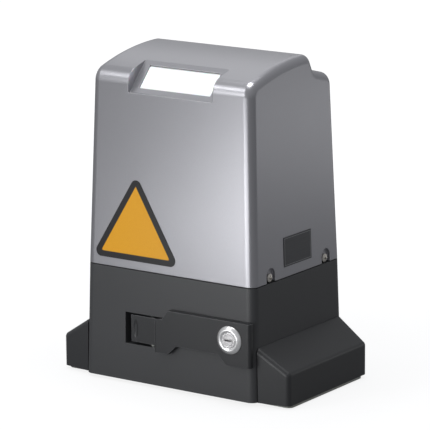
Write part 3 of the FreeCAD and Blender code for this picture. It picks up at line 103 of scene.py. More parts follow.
def linear(code):
    """Linear colour of an sRGB hex code.

    Each channel c becomes c / 12.92 up to 0.04045, and ((c + 0.055) / 1.055) to the power 2.4 above it.
    """
    channels = [int(code[start:start + 2], 16) / 255 for start in (1, 3, 5)]
    return [c / 12.92 if c <= 0.04045 else ((c + 0.055) / 1.055) ** 2.4 for c in channels] + [1.0]


def add(tree, kind, inputs=None, **settings):
    """Adds one node with its settings; an input given as a socket is linked, any other is set."""
    made = tree.nodes.new("ShaderNode" + kind)
    for setting, wanted in settings.items():
        setattr(made, setting, wanted)
    for socket, wanted in (inputs or {}).items():
        if isinstance(wanted, bpy.types.NodeSocket):
            tree.links.new(wanted, made.inputs[socket])
        else:
            made.inputs[socket].default_value = wanted
    return made


def shown_white(tree):
    """Share of white that a ray meets: 1 for the camera, faint for gloss and clear plastic, else 0."""
    faint_share = 0.12
    ray = add(tree, "LightPath")
    bounced = add(tree, "Math", {0: ray.outputs["Is Glossy Ray"], 1: ray.outputs["Is Transmission Ray"]},
                  operation="MAXIMUM")
    faint = add(tree, "Math", {0: bounced.outputs[0], 1: faint_share}, operation="MULTIPLY")
    shown = add(tree, "Math", {0: ray.outputs["Is Camera Ray"], 1: faint.outputs[0]}, operation="MAXIMUM")
    return shown.outputs[0]


def blank(name):
    """A new material with no nodes but one for places: the material, its tree and the place on a piece."""
    made = bpy.data.materials.new(name)
    made.use_nodes = True
    made.node_tree.nodes.clear()
    place = add(made.node_tree, "TexCoord").outputs["Object"]
    return made, made.node_tree, place


world = bpy.data.worlds.new("studio")
scene.world = world
world.use_nodes = True
sky = world.node_tree
sky.nodes.clear()
white_room = add(sky, "Background", {"Color": (1, 1, 1, 1), "Strength": 1.0})
fill_room = add(sky, "Background", {"Color": linear("#F4F6FA"), "Strength": 0.295})
room = add(sky, "MixShader", {"Fac": shown_white(sky), 1: fill_room.outputs[0], 2: white_room.outputs[0]})
add(sky, "OutputWorld", {"Surface": room.outputs[0]})

# Near the machine the paper glows a little less, so that its shadow shows; from there on it is pure white.
shadow_reach = 0.2
white_reach = 0.8
paper, tree, place = blank("seamless white paper")
lit = add(tree, "BsdfDiffuse", {"Color": linear("#6E6F71")})
reach = add(tree, "VectorMath", {0: place}, operation="LENGTH")
glow = add(tree, "MapRange", {"Value": reach.outputs["Value"], "From Min": shadow_reach,
                              "From Max": white_reach, "To Min": 0.85, "To Max": 1.0})
bright = add(tree, "Emission", {"Color": (1, 1, 1, 1), "Strength": glow.outputs[0]})
shaded = add(tree, "AddShader", {0: lit.outputs[0], 1: bright.outputs[0]})
seen = add(tree, "MixShader", {"Fac": shown_white(tree), 1: lit.outputs[0], 2: shaded.outputs[0]})
add(tree, "OutputMaterial", {"Surface": seen.outputs[0]})
half = 4.0
mesh = bpy.data.meshes.new("sweep")
mesh.from_pydata([(-half, -half, 0), (half, -half, 0), (half, half, 0), (-half, half, 0)], [], [(0, 1, 2, 3)])
mesh.materials.append(paper)
sweep = bpy.data.objects.new("sweep", mesh)
scene.collection.objects.link(sweep)
clear_of_plate = 0.0005
sweep.location.z = -clear_of_plate

# ---- Base plate, and the other zinc-plated steel pieces ----
# Laser-cut 3 mm plate that the whole machine is bolted to, with two slots at each end. Zinc-plated and
# passivated: a bright grey with faint yellow and blue clouds, and rolling lines drawn a millimetre apart,
# coarser than real ones, so that they show.


def coat(material, *names):
    """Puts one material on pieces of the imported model."""
    for name in names:
        NODES[name].data.materials.clear()
        NODES[name].data.materials.append(material)


def rounded(tree, radius):
    """Normals of edges eased by a small radius, and a mask that is 1 where an edge is within that radius."""
    flat_cosine = 0.995
    edge_cosine = 0.9
    eased = add(tree, "Bevel", {"Radius": radius}, samples=6)
    flat = add(tree, "NewGeometry")
    match = add(tree, "VectorMath", {0: eased.outputs[0], 1: flat.outputs["Normal"]}, operation="DOT_PRODUCT")
    mask = add(tree, "MapRange", {"Value": match.outputs["Value"], "From Min": flat_cosine,
                                  "From Max": edge_cosine})
    return eased.outputs[0], mask.outputs[0]


def two_tones(tree, place, grain, first, second, detail=2.0, roughness=0.5):
    """The colour that a noise mixes from two hex codes, and the noise; its grains are grain metres across."""
    noise = add(tree, "TexNoise", {"Vector": place, "Scale": 1 / grain, "Detail": detail,
                                   "Roughness": roughness})
    tone = add(tree, "MixRGB", {"Fac": noise.outputs[0], "Color1": linear(first), "Color2": linear(second)})
    return tone.outputs[0], noise.outputs[0]


cloud_width = 0.0222
line_length = 0.0167
line_spacing = 0.00111
zinc, tree, place = blank("zinc-plated rolled steel")
edge_normal, edge_mask = rounded(tree, radius=0.0006)
passivated, _ = two_tones(tree, place, cloud_width, "#A9A794", "#BCC1C6", detail=3.0, roughness=0.55)
edge_toned = add(tree, "MixRGB", {"Fac": edge_mask, "Color1": passivated, "Color2": linear("#D2D3D2")})
stretched = add(tree, "Mapping", {"Vector": place,
                                  "Scale": (1 / line_length, 1 / line_spacing, 1 / line_spacing)})
rolling = add(tree, "TexNoise", {"Vector": stretched.outputs[0], "Scale": 1.0, "Detail": 2.0})
gloss = add(tree, "MapRange", {"Value": rolling.outputs[0], "To Min": 0.30, "To Max": 0.46})
relief = add(tree, "Bump", {"Height": rolling.outputs[0], "Strength": 0.25, "Distance": 0.0001,
                            "Normal": edge_normal})
shader = add(tree, "BsdfPrincipled", {"Base Color": edge_toned.outputs[0], "Metallic": 1.0,
                                      "Roughness": gloss.outputs[0], "Normal": relief.outputs[0]})
add(tree, "OutputMaterial", {"Surface": shader.outputs[0]})
coat(zinc, "base_plate", "release_fork", "fork_rod", "lock_cam", "spring_collar", "shaft_spacer",
     "pinion_washer", "pinion_bolt", "motor_bolts", "lid_screws", "shaft_keys", "release_shaft",
     "board_bracket")

# ---- Lower housing ----
# Die-cast aluminium box with the bearing bridge, the worm's boss and the lever's recess cast in.
# Powder-coated dark grey: a dull surface with the fine orange peel of cured powder.


def moulded(name, colour, lighter, edge_wear_and_highlight_colour, roughness, peel_size, peel_depth):
    """Material of a coated or moulded skin, with a grain of peel_size by peel_depth metres.

    The colour drifts slightly between two tones over a few centimetres, and edges go in patches to the
    edge colour given: scuffed wear, and on the release lever a painted highlight.
    """
    drift_width = 0.0714
    edge_patch_width = 0.00455
    gloss_spread = 0.03
    made, tree, place = blank(name)
    edge_normal, edge_mask = rounded(tree, radius=0.0007)
    body, drift = two_tones(tree, place, drift_width, colour, lighter)
    edge_patch_noise = add(tree, "TexNoise", {"Vector": place, "Scale": 1 / edge_patch_width, "Detail": 4.0,
                                   "Roughness": 0.7})
    # Edges take the edge colour in patches: scuffed wear, and on the release lever a painted highlight.
    patchy_edge_mask = add(tree, "Math", {0: edge_mask, 1: edge_patch_noise.outputs[0]}, operation="MULTIPLY")
    edge_toned = add(tree, "MixRGB", {"Fac": patchy_edge_mask.outputs[0], "Color1": body, "Color2": linear(edge_wear_and_highlight_colour)})
    peel = add(tree, "TexNoise", {"Vector": place, "Scale": 1 / peel_size, "Detail": 2.0, "Roughness": 0.5})
    gloss = add(tree, "MapRange", {"Value": drift, "To Min": roughness - gloss_spread,
                                   "To Max": roughness + gloss_spread})
    relief = add(tree, "Bump", {"Height": peel.outputs[0], "Strength": 0.35, "Distance": peel_depth,
                                "Normal": edge_normal})
    shader = add(tree, "BsdfPrincipled", {"Base Color": edge_toned.outputs[0], "Roughness": gloss.outputs[0],
                                          "IOR": 1.5, "Normal": relief.outputs[0]})
    add(tree, "OutputMaterial", {"Surface": shader.outputs[0]})
    return made


coat(moulded("powder-coated die-cast aluminium", "#3B3C3E", "#3F4042", "#4A4B4D", roughness=0.42,
             peel_size=0.0011, peel_depth=0.00008), "lower_housing")

# ---- Foot covers ----
# Caps over the anchor bolts, moulded in black glass-filled nylon in a lightly sparked mould, which leaves
# a dull, finely pebbled skin.
coat(moulded("moulded glass-filled nylon", "#2D2E30", "#323335", "#404144", roughness=0.40,
             peel_size=0.0007, peel_depth=0.00005), "left_foot_cover", "right_foot_cover")

# ---- Release lever ----
# Plate with a tongue at its left end, in the same black nylon. Its edges are painted paler in patches, a
# painted highlight where light would catch them. A finger presses the tongue in at a shallow upright
# dimple, and a fine groove marks where tongue and plate join.
# The pale edge colour #8A8B8E is a painted highlight along the lever's edges.
lever = moulded("moulded glass-filled nylon with a finger dimple", "#2A2B2D", "#2F3032", "#8A8B8E",
                roughness=0.40, peel_size=0.0007, peel_depth=0.00005)
tongue_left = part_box("release_lever")[0].x
tongue_low = 0.0439
tongue_high = 0.0713
dimple_inset = 0.0055
dimple_half_width = 0.0026
dimple_half_height = 0.0085
groove_inset = 0.0335
tree = lever.node_tree
place = tree.nodes["Texture Coordinate"].outputs["Object"]
parts = add(tree, "SeparateXYZ", {"Vector": place})
off_x = add(tree, "Math", {0: parts.outputs["X"], 1: tongue_left + dimple_inset}, operation="SUBTRACT")
off_z = add(tree, "Math", {0: parts.outputs["Z"], 1: (tongue_low + tongue_high) / 2}, operation="SUBTRACT")
across = add(tree, "Math", {0: off_x.outputs[0], 1: dimple_half_width}, operation="DIVIDE")
upward = add(tree, "Math", {0: off_z.outputs[0], 1: dimple_half_height}, operation="DIVIDE")
in_oval = add(tree, "CombineXYZ", {"X": across.outputs[0], "Y": upward.outputs[0]})
oval = add(tree, "VectorMath", {0: in_oval.outputs[0]}, operation="LENGTH")
bowl = add(tree, "MapRange", {"Value": oval.outputs["Value"], "From Min": 0.55, "From Max": 1.15},
           interpolation_type="SMOOTHSTEP")
to_groove = add(tree, "Math", {0: parts.outputs["X"], 1: tongue_left + groove_inset}, operation="SUBTRACT")
off_groove = add(tree, "Math", {0: to_groove.outputs[0]}, operation="ABSOLUTE")
groove = add(tree, "MapRange", {"Value": off_groove.outputs[0], "From Min": 0.0002, "From Max": 0.0008},
             interpolation_type="SMOOTHSTEP")
height = add(tree, "Math", {0: bowl.outputs[0], 1: groove.outputs[0]}, operation="MINIMUM")
shader = tree.nodes["Principled BSDF"]
peel_normal = shader.inputs["Normal"].links[0].from_socket
pressed = add(tree, "Bump", {"Height": height.outputs[0], "Strength": 1.0, "Distance": 0.0012,
                             "Normal": peel_normal})
tree.links.new(pressed.outputs[0], shader.inputs["Normal"])
coat(lever, "release_lever")

# ---- Rubber pieces ----
# Seal between housing and cover, grommet in the floor, and lip seal on the output shaft. Pressed black
# nitrile rubber, held by its own squeeze: dull, nearly black, with a little dust in its skin.
dust_width = 0.00385
rubber, tree, place = blank("pressed nitrile rubber")
black, dust = two_tones(tree, place, dust_width, "#050505", "#0D0D0E", detail=4.0)
relief = add(tree, "Bump", {"Height": dust, "Strength": 0.3, "Distance": 0.0001})
shader = add(tree, "BsdfPrincipled", {"Base Color": black, "Roughness": 0.75, "Normal": relief.outputs[0]})
add(tree, "OutputMaterial", {"Surface": shader.outputs[0]})
coat(rubber, "cover_seal", "cable_grommet", "oil_seal")

# ---- Turned and ground steel ----
# Output shaft, bearings, worm shaft, clutch ring and spring, and limit switch shaft. Bright steel with a
# film of oil that clouds its shine, and ground marks 0.7 mm wide, coarser than real ones, so that they show.
oil_width = 0.0167
mark_width = 0.000714
turned_steel, tree, place = blank("turned steel")
edge_normal, _ = rounded(tree, radius=0.0004)
tone, oil = two_tones(tree, place, oil_width, "#8F8F8E", "#B4B5B6", detail=3.0)
marks = add(tree, "TexNoise", {"Vector": place, "Scale": 1 / mark_width, "Detail": 1.0})
gloss = add(tree, "MapRange", {"Value": oil, "To Min": 0.18, "To Max": 0.34})
relief = add(tree, "Bump", {"Height": marks.outputs[0], "Strength": 0.15, "Distance": 0.00005,
                            "Normal": edge_normal})
shader = add(tree, "BsdfPrincipled", {"Base Color": tone, "Metallic": 1.0, "Roughness": gloss.outputs[0],
                                      "Normal": relief.outputs[0]})
add(tree, "OutputMaterial", {"Surface": shader.outputs[0]})
coat(turned_steel, "output_shaft", "output_bearings", "worm_bearings", "worm_shaft", "clutch_ring",
     "clutch_spring", "limit_shaft")

# ---- Output pinion ----
# Sixteen-tooth steel pinion on the keyed shaft, held by a washer and bolt. Cut and then oil-blackened:
# mottled dark, with bright crests where the rack rubs the teeth.
mottle_width = 0.0077
blackened, tree, place = blank("oil-blackened gear steel")
edge_normal, edge_mask = rounded(tree, radius=0.0008)
tone, mottle = two_tones(tree, place, mottle_width, "#5E5D5B", "#8A8987", detail=5.0, roughness=0.6)
crests = add(tree, "MixRGB", {"Fac": edge_mask, "Color1": tone, "Color2": linear("#B9B8B5")})
gloss = add(tree, "MapRange", {"Value": mottle, "To Min": 0.26, "To Max": 0.5})
relief = add(tree, "Bump", {"Height": mottle, "Strength": 0.2, "Distance": 0.0001, "Normal": edge_normal})
shader = add(tree, "BsdfPrincipled", {"Base Color": crests.outputs[0], "Metallic": 1.0,
                                      "Roughness": gloss.outputs[0], "Normal": relief.outputs[0]})
add(tree, "OutputMaterial", {"Surface": shader.outputs[0]})
coat(blackened, "output_pinion")

# ---- Worm wheel ----
# Cast tin bronze with hobbed teeth, on the output shaft inside the housing. Warm yellow brown with a light
# patina, brighter along the teeth's edges.
patina_width = 0.0111
bronze, tree, place = blank("machined tin bronze")
edge_normal, edge_mask = rounded(tree, radius=0.0005)
tone, _ = two_tones(tree, place, patina_width, "#9A6B38", "#BD8C50", detail=4.0)
bright_edge = add(tree, "MixRGB", {"Fac": edge_mask, "Color1": tone, "Color2": linear("#D9AE73")})
shader = add(tree, "BsdfPrincipled", {"Base Color": bright_edge.outputs[0], "Metallic": 1.0,
                                      "Roughness": 0.32, "Normal": edge_normal})
add(tree, "OutputMaterial", {"Surface": shader.outputs[0]})
coat(bronze, "worm_wheel")

# ---- Gearbox lid, motor flange, motor frame and motor cap ----
# The lid closes the housing and carries the motor, which tie bolts hold together. Die-cast aluminium left
# bare and shot-blasted: pale grey, pitted finely all over, edges brighter.
cloud_width = 0.04
pit_width = 0.00091
blasted, tree, place = blank("shot-blasted cast aluminium")
edge_normal, edge_mask = rounded(tree, radius=0.0009)
tone, _ = two_tones(tree, place, cloud_width, "#8E9092", "#A9ABAD", detail=3.0)
lighter_edge = add(tree, "MixRGB", {"Fac": edge_mask, "Color1": tone, "Color2": linear("#C6C8CA")})
pits = add(tree, "TexVoronoi", {"Vector": place, "Scale": 1 / pit_width})
relief = add(tree, "Bump", {"Height": pits.outputs["Distance"], "Strength": 0.4, "Distance": 0.00012,
                            "Normal": edge_normal})
shader = add(tree, "BsdfPrincipled", {"Base Color": lighter_edge.outputs[0], "Metallic": 1.0,
                                      "Roughness": 0.48, "Normal": relief.outputs[0]})
add(tree, "OutputMaterial", {"Surface": shader.outputs[0]})
coat(blasted, "gearbox_lid", "motor_flange", "motor_frame", "motor_cap")

# ---- Iron cores of motor and transformer ----
# Stacks of 0.5 mm silicon-steel sheets, varnished: dark blue grey with the sheets' edges as fine lines.
# The lines are drawn 1 mm apart, coarser than the sheets, so that they show.


def band_scale(pitch):
    """Scale of a wave pattern with one band every pitch metres: it draws the sine of 20 times the place."""
    return 2 * math.pi / (20 * pitch)


sheet_pitch = 0.001
for name, along, pieces in (
        ("punched silicon steel, stacked upright", "Z", ("stator_core", "rotor_core")),
        ("punched silicon steel, stacked across", "Y", ("transformer_core",))):
    core, tree, place = blank(name)
    sheets = add(tree, "TexWave", {"Vector": place, "Scale": band_scale(sheet_pitch)}, wave_type="BANDS",
                 bands_direction=along)
    tone = add(tree, "MixRGB", {"Fac": sheets.outputs["Fac"], "Color1": linear("#2C2F34"),
                                "Color2": linear("#585C62")})
    relief = add(tree, "Bump", {"Height": sheets.outputs["Fac"], "Strength": 0.5, "Distance": 0.0001})
    shader = add(tree, "BsdfPrincipled", {"Base Color": tone.outputs[0], "Metallic": 0.8, "Roughness": 0.42,
                                          "Normal": relief.outputs[0]})
    add(tree, "OutputMaterial", {"Surface": shader.outputs[0]})
    coat(core, *pieces)

# ---- Windings ----
# Enamelled copper wire laid in rings over the stator's ends: glossy red brown, its turns drawn 1.2 mm apart,
# coarser than the wire, so that they show. The transformer's coil is under laps of yellow polyester tape.
wire_pitch = 0.0012
copper, tree, place = blank("enamelled copper wire, wound")
wires = add(tree, "TexWave", {"Vector": place, "Scale": band_scale(wire_pitch), "Distortion": 1.5,
                              "Detail": 2.0}, wave_type="BANDS", bands_direction="Z")
tone = add(tree, "MixRGB", {"Fac": wires.outputs["Fac"], "Color1": linear("#5A2412"),
                            "Color2": linear("#B5622F")})
relief = add(tree, "Bump", {"Height": wires.outputs["Fac"], "Strength": 0.9, "Distance": 0.0004})
shader = add(tree, "BsdfPrincipled", {"Base Color": tone.outputs[0], "Metallic": 0.7, "Roughness": 0.3,
                                      "Coat Weight": 0.4, "Normal": relief.outputs[0]})
add(tree, "OutputMaterial", {"Surface": shader.outputs[0]})
coat(copper, "stator_windings")

lap_pitch = 0.012
tape, tree, place = blank("polyester coil tape, wrapped")
edge_normal, _ = rounded(tree, radius=0.0015)
laps = add(tree, "TexWave", {"Vector": place, "Scale": band_scale(lap_pitch), "Distortion": 0.4},
           wave_type="BANDS", bands_direction="Z", wave_profile="SAW")
tone = add(tree, "MixRGB", {"Fac": laps.outputs["Fac"], "Color1": linear("#B98A24"),
                            "Color2": linear("#D8AE45")})
relief = add(tree, "Bump", {"Height": laps.outputs["Fac"], "Strength": 0.5, "Distance": 0.0003,
                            "Normal": edge_normal})
shader = add(tree, "BsdfPrincipled", {"Base Color": tone.outputs[0], "Roughness": 0.28,
                                      "Normal": relief.outputs[0]})
add(tree, "OutputMaterial", {"Surface": shader.outputs[0]})
coat(tape, "transformer_coil")

# ---- Run capacitor, relays, terminal blocks, clamp and limit switch ----
# Thermoplastic mouldings: a white capacitor can and lamp reflector, blue relay cases, green terminal blocks,
# and black clamp and switch parts. All have the dull, slightly shrunk skin of a plain mould.
coat(moulded("moulded white polypropylene", "#D3D2CB", "#DEDDD7", "#EDECE8", roughness=0.4,
             peel_size=0.0012, peel_depth=0.00005), "motor_capacitor", "lamp_reflector")
coat(moulded("moulded blue relay case", "#1E3F78", "#234887", "#3D62A0", roughness=0.32,
             peel_size=0.0006, peel_depth=0.00003), "board_relays")
coat(moulded("moulded green polyamide", "#1F6B3A", "#257743", "#4C9A68", roughness=0.4,
             peel_size=0.0006, peel_depth=0.00003), "terminal_blocks")
coat(moulded("moulded black acetal", "#1D1E20", "#242527", "#3B3C3F", roughness=0.36, peel_size=0.0007,
             peel_depth=0.00004),
     "capacitor_clamp", "limit_switch_box", "limit_switch_lid", "limit_switches", "limit_hub")

# ---- Control board and radio board ----
# Glass-fibre boards under glossy green solder mask. Copper tracks 0.4 mm wide show through as lighter lines.
# The boards carry the relays, the fuse and the terminal blocks.
track_length = 0.011
track_pitch = 0.0028
track_width = 0.0004
mask_green, tree, place = blank("solder-masked circuit board")
upright = add(tree, "Mapping", {"Vector": place, "Rotation": (math.pi / 2, 0, 0)})
tracks = add(tree, "TexBrick", {"Vector": upright.outputs[0], "Scale": 1.0, "Mortar Size": track_width,
                                "Brick Width": track_length, "Row Height": track_pitch, "Mortar Smooth": 0.1,
                                "Color1": linear("#0E4A26"), "Color2": linear("#115730"),
                                "Mortar": linear("#2E8A52")}, offset=0.37, squash=0.7)
shader = add(tree, "BsdfPrincipled", {"Base Color": tracks.outputs["Color"], "Roughness": 0.25,
                                      "Coat Weight": 0.3})
add(tree, "OutputMaterial", {"Surface": shader.outputs[0]})
coat(mask_green, "control_board", "radio_receiver")

# ---- Fuse ----
# Glass tube with a nickel-plated cap at each end, on the control board. Drawn smooth: pale glass with a
# metallic length at either end.
fuse_low, fuse_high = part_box("board_fuse")
cap_length = 0.006
glass_fuse, tree, place = blank("glass tube with nickel caps")
along = add(tree, "SeparateXYZ", {"Vector": place}).outputs["X"]
from_middle = add(tree, "Math", {0: along, 1: (fuse_low.x + fuse_high.x) / 2}, operation="SUBTRACT")
off_middle = add(tree, "Math", {0: from_middle.outputs[0]}, operation="ABSOLUTE")
at_cap = add(tree, "Math", {0: off_middle.outputs[0], 1: (fuse_high.x - fuse_low.x) / 2 - cap_length},
             operation="GREATER_THAN")
tone = add(tree, "MixRGB", {"Fac": at_cap.outputs[0], "Color1": linear("#C9D2D0"),
                            "Color2": linear("#A8A7A2")})
shader = add(tree, "BsdfPrincipled", {"Base Color": tone.outputs[0], "Metallic": at_cap.outputs[0],
                                      "Roughness": 0.15})
add(tree, "OutputMaterial", {"Surface": shader.outputs[0]})
coat(glass_fuse, "board_fuse")

# ---- Motor lead ----
# Lead from the motor cap round the board's edge into the terminal block. Extruded grey vinyl jacket:
# dull, a little smeared by handling.
smear_width = 0.00556
jacket, tree, place = blank("extruded grey vinyl")
tone, _ = two_tones(tree, place, smear_width, "#35363A", "#46474C", detail=3.0)
shader = add(tree, "BsdfPrincipled", {"Base Color": tone, "Roughness": 0.5})
add(tree, "OutputMaterial", {"Surface": shader.outputs[0]})
coat(jacket, "motor_lead")

# ---- Limit spring ----
# Close-wound spring of 1.3 mm steel wire standing on the limit switch's hub; the gate's stops push it over.
# A blunt turned tip closes its top end.


def skin(name, grid, material, body, round_rows=False, round_columns=False, closed_ends=False):
    """A surface through a grid of points, rows by columns, one face to each square of the grid.

    round_rows joins the last row to the first, round_columns the last column to the first, and closed_ends
    covers the first and the last row with one face each. A grid may hold several copies, one after another.
    """
    copies, rows, columns = grid.reshape(-1, *grid.shape[-3:]).shape[:3]
    index = np.arange(copies * rows * columns).reshape(copies, rows, columns)
    if round_rows:
        index = np.concatenate([index, index[:, :1]], axis=1)
    if round_columns:
        index = np.concatenate([index, index[:, :, :1]], axis=2)
    squares = np.stack([index[:, :-1, :-1], index[:, :-1, 1:], index[:, 1:, 1:], index[:, 1:, :-1]], axis=-1)
    faces = squares.reshape(-1, 4).tolist()
    if closed_ends:
        faces += index[:, 0, :columns][:, ::-1].tolist() + index[:, -1, :columns].tolist()
    mesh = bpy.data.meshes.new(name)
    mesh.from_pydata(grid.reshape(-1, 3), [], faces)
    mesh.shade_smooth()
    mesh.set_sharp_from_angle(angle=math.radians(40))
    mesh.materials.append(material)
    piece = bpy.data.objects.new(name, mesh)
    scene.collection.objects.link(piece)
    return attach(piece, body)


def tube(path, radius, sides, out):
    """Grid of a round tube: at each point of path, a circle across its direction, started towards out."""
    ahead = np.gradient(path, axis=0)
    ahead /= np.linalg.norm(ahead, axis=1, keepdims=True)
    first = out - np.sum(out * ahead, axis=1, keepdims=True) * ahead
    first /= np.linalg.norm(first, axis=1, keepdims=True)
    second = np.cross(ahead, first)
    turn = np.linspace(0, 2 * np.pi, sides, endpoint=False)[None, :, None]
    return path[:, None] + radius * (np.cos(turn) * first[:, None] + np.sin(turn) * second[:, None])


spring_low, spring_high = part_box("limit_spring")
spring_x = (spring_low.x + spring_high.x) / 2
spring_y = (spring_low.y + spring_high.y) / 2
wire_radius = 0.00065
coil_radius = (spring_high.x - spring_low.x) / 2 - wire_radius
pitch = 0.00145
tip_height = 0.009
coil_top = spring_high.z - tip_height
turns = (coil_top - spring_low.z) / pitch
points_per_turn = 26
angle = np.linspace(0, 2 * np.pi * turns, int(turns * points_per_turn))
out = np.stack([np.cos(angle), np.sin(angle), 0 * angle], axis=1)
rise = spring_low.z + wire_radius + pitch * angle / (2 * np.pi)
wire_line = coil_radius * out + [spring_x, spring_y, 0] + np.outer(rise, [0, 0, 1])

drawn_width = 0.00143
spring_steel, tree, place = blank("nickel-plated spring wire, drawn")
tone, drawn = two_tones(tree, place, drawn_width, "#A3A19C", "#C9C8C4")
gloss = add(tree, "MapRange", {"Value": drawn, "To Min": 0.16, "To Max": 0.3})
shader = add(tree, "BsdfPrincipled", {"Base Color": tone, "Metallic": 1.0, "Roughness": gloss.outputs[0]})
add(tree, "OutputMaterial", {"Surface": shader.outputs[0]})
coil = skin("limit_spring_coil", tube(wire_line, wire_radius, 8, out), spring_steel, "limit",
            round_columns=True, closed_ends=True)
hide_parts("limit_spring")


def turned(profile, centre, axis, steps=72):
    """Grid of a turned piece: pairs of radius and height, carried once round an axis through centre."""
    profile = np.asarray(profile, float)
    axis = np.asarray(axis, float)
    slanting = [0.31, 0.53, 0.79]
    side = np.cross(axis, slanting)
    side /= np.linalg.norm(side)
    other = np.cross(axis, side)
    turn = np.linspace(0, 2 * np.pi, steps, endpoint=False)[None, :, None]
    ring = np.cos(turn) * side + np.sin(turn) * other
    return np.asarray(centre) + profile[:, :1, None] * ring + profile[:, 1:, None] * axis


# The tip's foot narrows into the coil. Its side is straight for half its height, and from there a quarter of
# an ellipse closes it to a small flat.
tip_radius = coil_radius + wire_radius
tip_top = tip_height - 0.0002
foot_depth = 0.0005
foot_radius = 0.7 * tip_radius
flat_radius = 0.05 * tip_radius
quarter = np.linspace(0, np.pi / 2, 12)[1:-1]
tip_profile = np.stack([
    np.r_[foot_radius, tip_radius, tip_radius * np.cos(quarter), flat_radius],
    np.r_[-foot_depth, 0.0, tip_top / 2 + tip_top / 2 * np.sin(quarter), tip_top]], axis=1)
tip = skin("limit_spring_tip", turned(tip_profile, (spring_x, spring_y, coil_top), (0, 0, 1)), turned_steel,
           "limit", round_columns=True, closed_ends=True)

# ---- Top cover ----
# Injection-moulded shell lowered over the motor, painted silver grey. The metal flake in the paint gives a
# soft sheen that runs from dark to light across the flat walls. Flake and grain are drawn about half a
# millimetre wide, coarser than real ones, so that they show.
drift_width = 0.111
flake_width = 0.000455
edge_patch_width = 0.00385
grain_width = 0.000667
silver, tree, place = blank("silver-painted moulded ABS")
edge_normal, edge_mask = rounded(tree, radius=0.0008)
body, _ = two_tones(tree, place, drift_width, "#A2A2A7", "#A8A8AD")
flake = add(tree, "TexVoronoi", {"Vector": place, "Scale": 1 / flake_width})
sparkle = add(tree, "MapRange", {"Value": flake.outputs["Distance"], "From Min": 0.0, "From Max": 0.6,
                                 "To Min": 1.06, "To Max": 0.97})
flaked = add(tree, "VectorMath", {0: body, "Scale": sparkle.outputs[0]}, operation="SCALE")
edge_patch_noise = add(tree, "TexNoise", {"Vector": place, "Scale": 1 / edge_patch_width, "Detail": 4.0, "Roughness": 0.7})
patchy_edge_mask = add(tree, "Math", {0: edge_mask, 1: edge_patch_noise.outputs[0]}, operation="MULTIPLY")
painted = add(tree, "MixRGB", {"Fac": patchy_edge_mask.outputs[0], "Color1": flaked.outputs[0],
                               "Color2": linear("#C4C4C7")})
grain = add(tree, "TexNoise", {"Vector": place, "Scale": 1 / grain_width, "Detail": 2.0})
relief = add(tree, "Bump", {"Height": grain.outputs[0], "Strength": 0.25, "Distance": 0.00004,
                            "Normal": edge_normal})
shader = add(tree, "BsdfPrincipled", {"Base Color": painted.outputs[0], "Metallic": 0.75, "Roughness": 0.33,
                                      "IOR": 1.5, "Normal": relief.outputs[0]})
add(tree, "OutputMaterial", {"Surface": shader.outputs[0]})
coat(silver, "top_cover")

# ---- Lamp ----
# Opal acrylic lens pushed into the cover's window from inside, with a white LED board behind its reflector.
# The lens is milky white and lets light into its body, so its edges stay soft. It also glows faintly
# white, a painted glow: the LED board behind it gives no light.
milk_width = 0.0333
opal, tree, place = blank("opal acrylic, moulded")
edge_normal, _ = rounded(tree, radius=0.0005)
tone, _ = two_tones(tree, place, milk_width, "#F4F4F4", "#FBFBFB", detail=1.0)
# The faint white emission is a painted glow; the LED board behind the lens is not lit.
shader = add(tree, "BsdfPrincipled", {"Base Color": tone, "Roughness": 0.22, "IOR": 1.49,
                                      "Subsurface Weight": 0.3, "Subsurface Scale": 0.004,
                                      "Emission Color": (1, 1, 1, 1), "Emission Strength": 0.04,
                                      "Normal": edge_normal})
add(tree, "OutputMaterial", {"Surface": shader.outputs[0]})
coat(opal, "lamp_lens")

speck_width = 0.00333
led_board, tree, place = blank("white solder-masked LED board")
tone, _ = two_tones(tree, place, speck_width, "#E4E4DF", "#F0F0EC")
shader = add(tree, "BsdfPrincipled", {"Base Color": tone, "Roughness": 0.35})
add(tree, "OutputMaterial", {"Surface": shader.outputs[0]})
coat(led_board, "lamp_board")

# ---- Cover screws ----
# Four nickel-plated pan-head screws, two in each side wall, with a cross recess pressed into each head.
# Bright, hazed a little by the plating bath.


def cross_head(radius, height, slot_half, slot_reach, slot_depth, rings=26, steps=96):
    """Grid of a screw head seen from above: a flattened dome, sunk by a cross.

    The dome is height times (1 - dome_fall r^2), where r is the share of the radius. The cross is where the
    point lies within slot_half of either arm's middle line and within slot_reach of the centre. Its walls
    fall over a fraction of a millimetre, and its floor rises towards the arms' ends.
    """
    dome_fall = 0.45
    floor_rise = 0.35
    side_wall = 0.0002
    end_wall = 0.0003
    share = np.linspace(1, 0.02, rings)[:, None]
    turn = np.linspace(0, 2 * np.pi, steps, endpoint=False)[None, :]
    across = radius * share * np.cos(turn)
    upward = radius * share * np.sin(turn)
    dome = height * (1 - dome_fall * share ** 2) + 0 * turn
    off_arm = np.minimum(np.abs(across), np.abs(upward))
    in_arm = np.clip((slot_half - off_arm) / side_wall + 0.5, 0, 1)
    in_reach = np.clip((slot_reach - radius * share) / end_wall + 0.5, 0, 1)
    floor = 1 - floor_rise * radius * share / slot_reach
    face = np.stack([across, upward, dome - slot_depth * in_arm * in_reach * floor], axis=-1)
    skirt = np.stack([radius * np.cos(turn), radius * np.sin(turn), 0 * turn], axis=-1)
    return np.concatenate([skirt, face])


screw_low, screw_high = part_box("cover_screws")
head_radius = (screw_high.z - screw_low.z) / 2
head_height = 0.0029
head_z = (screw_high.z + screw_low.z) / 2
head = cross_head(head_radius, head_height, slot_half=0.00055, slot_reach=0.0026, slot_depth=0.0016)
placed_heads = []
for side in (-1, 1):
    outer = screw_high.x if side > 0 else screw_low.x
    for row_y in (screw_low.y + head_radius, screw_high.y - head_radius):
        placed_heads.append(np.stack([outer + side * (head[..., 2] - head_height),
                                      row_y + side * head[..., 0], head_z + head[..., 1]], axis=-1))

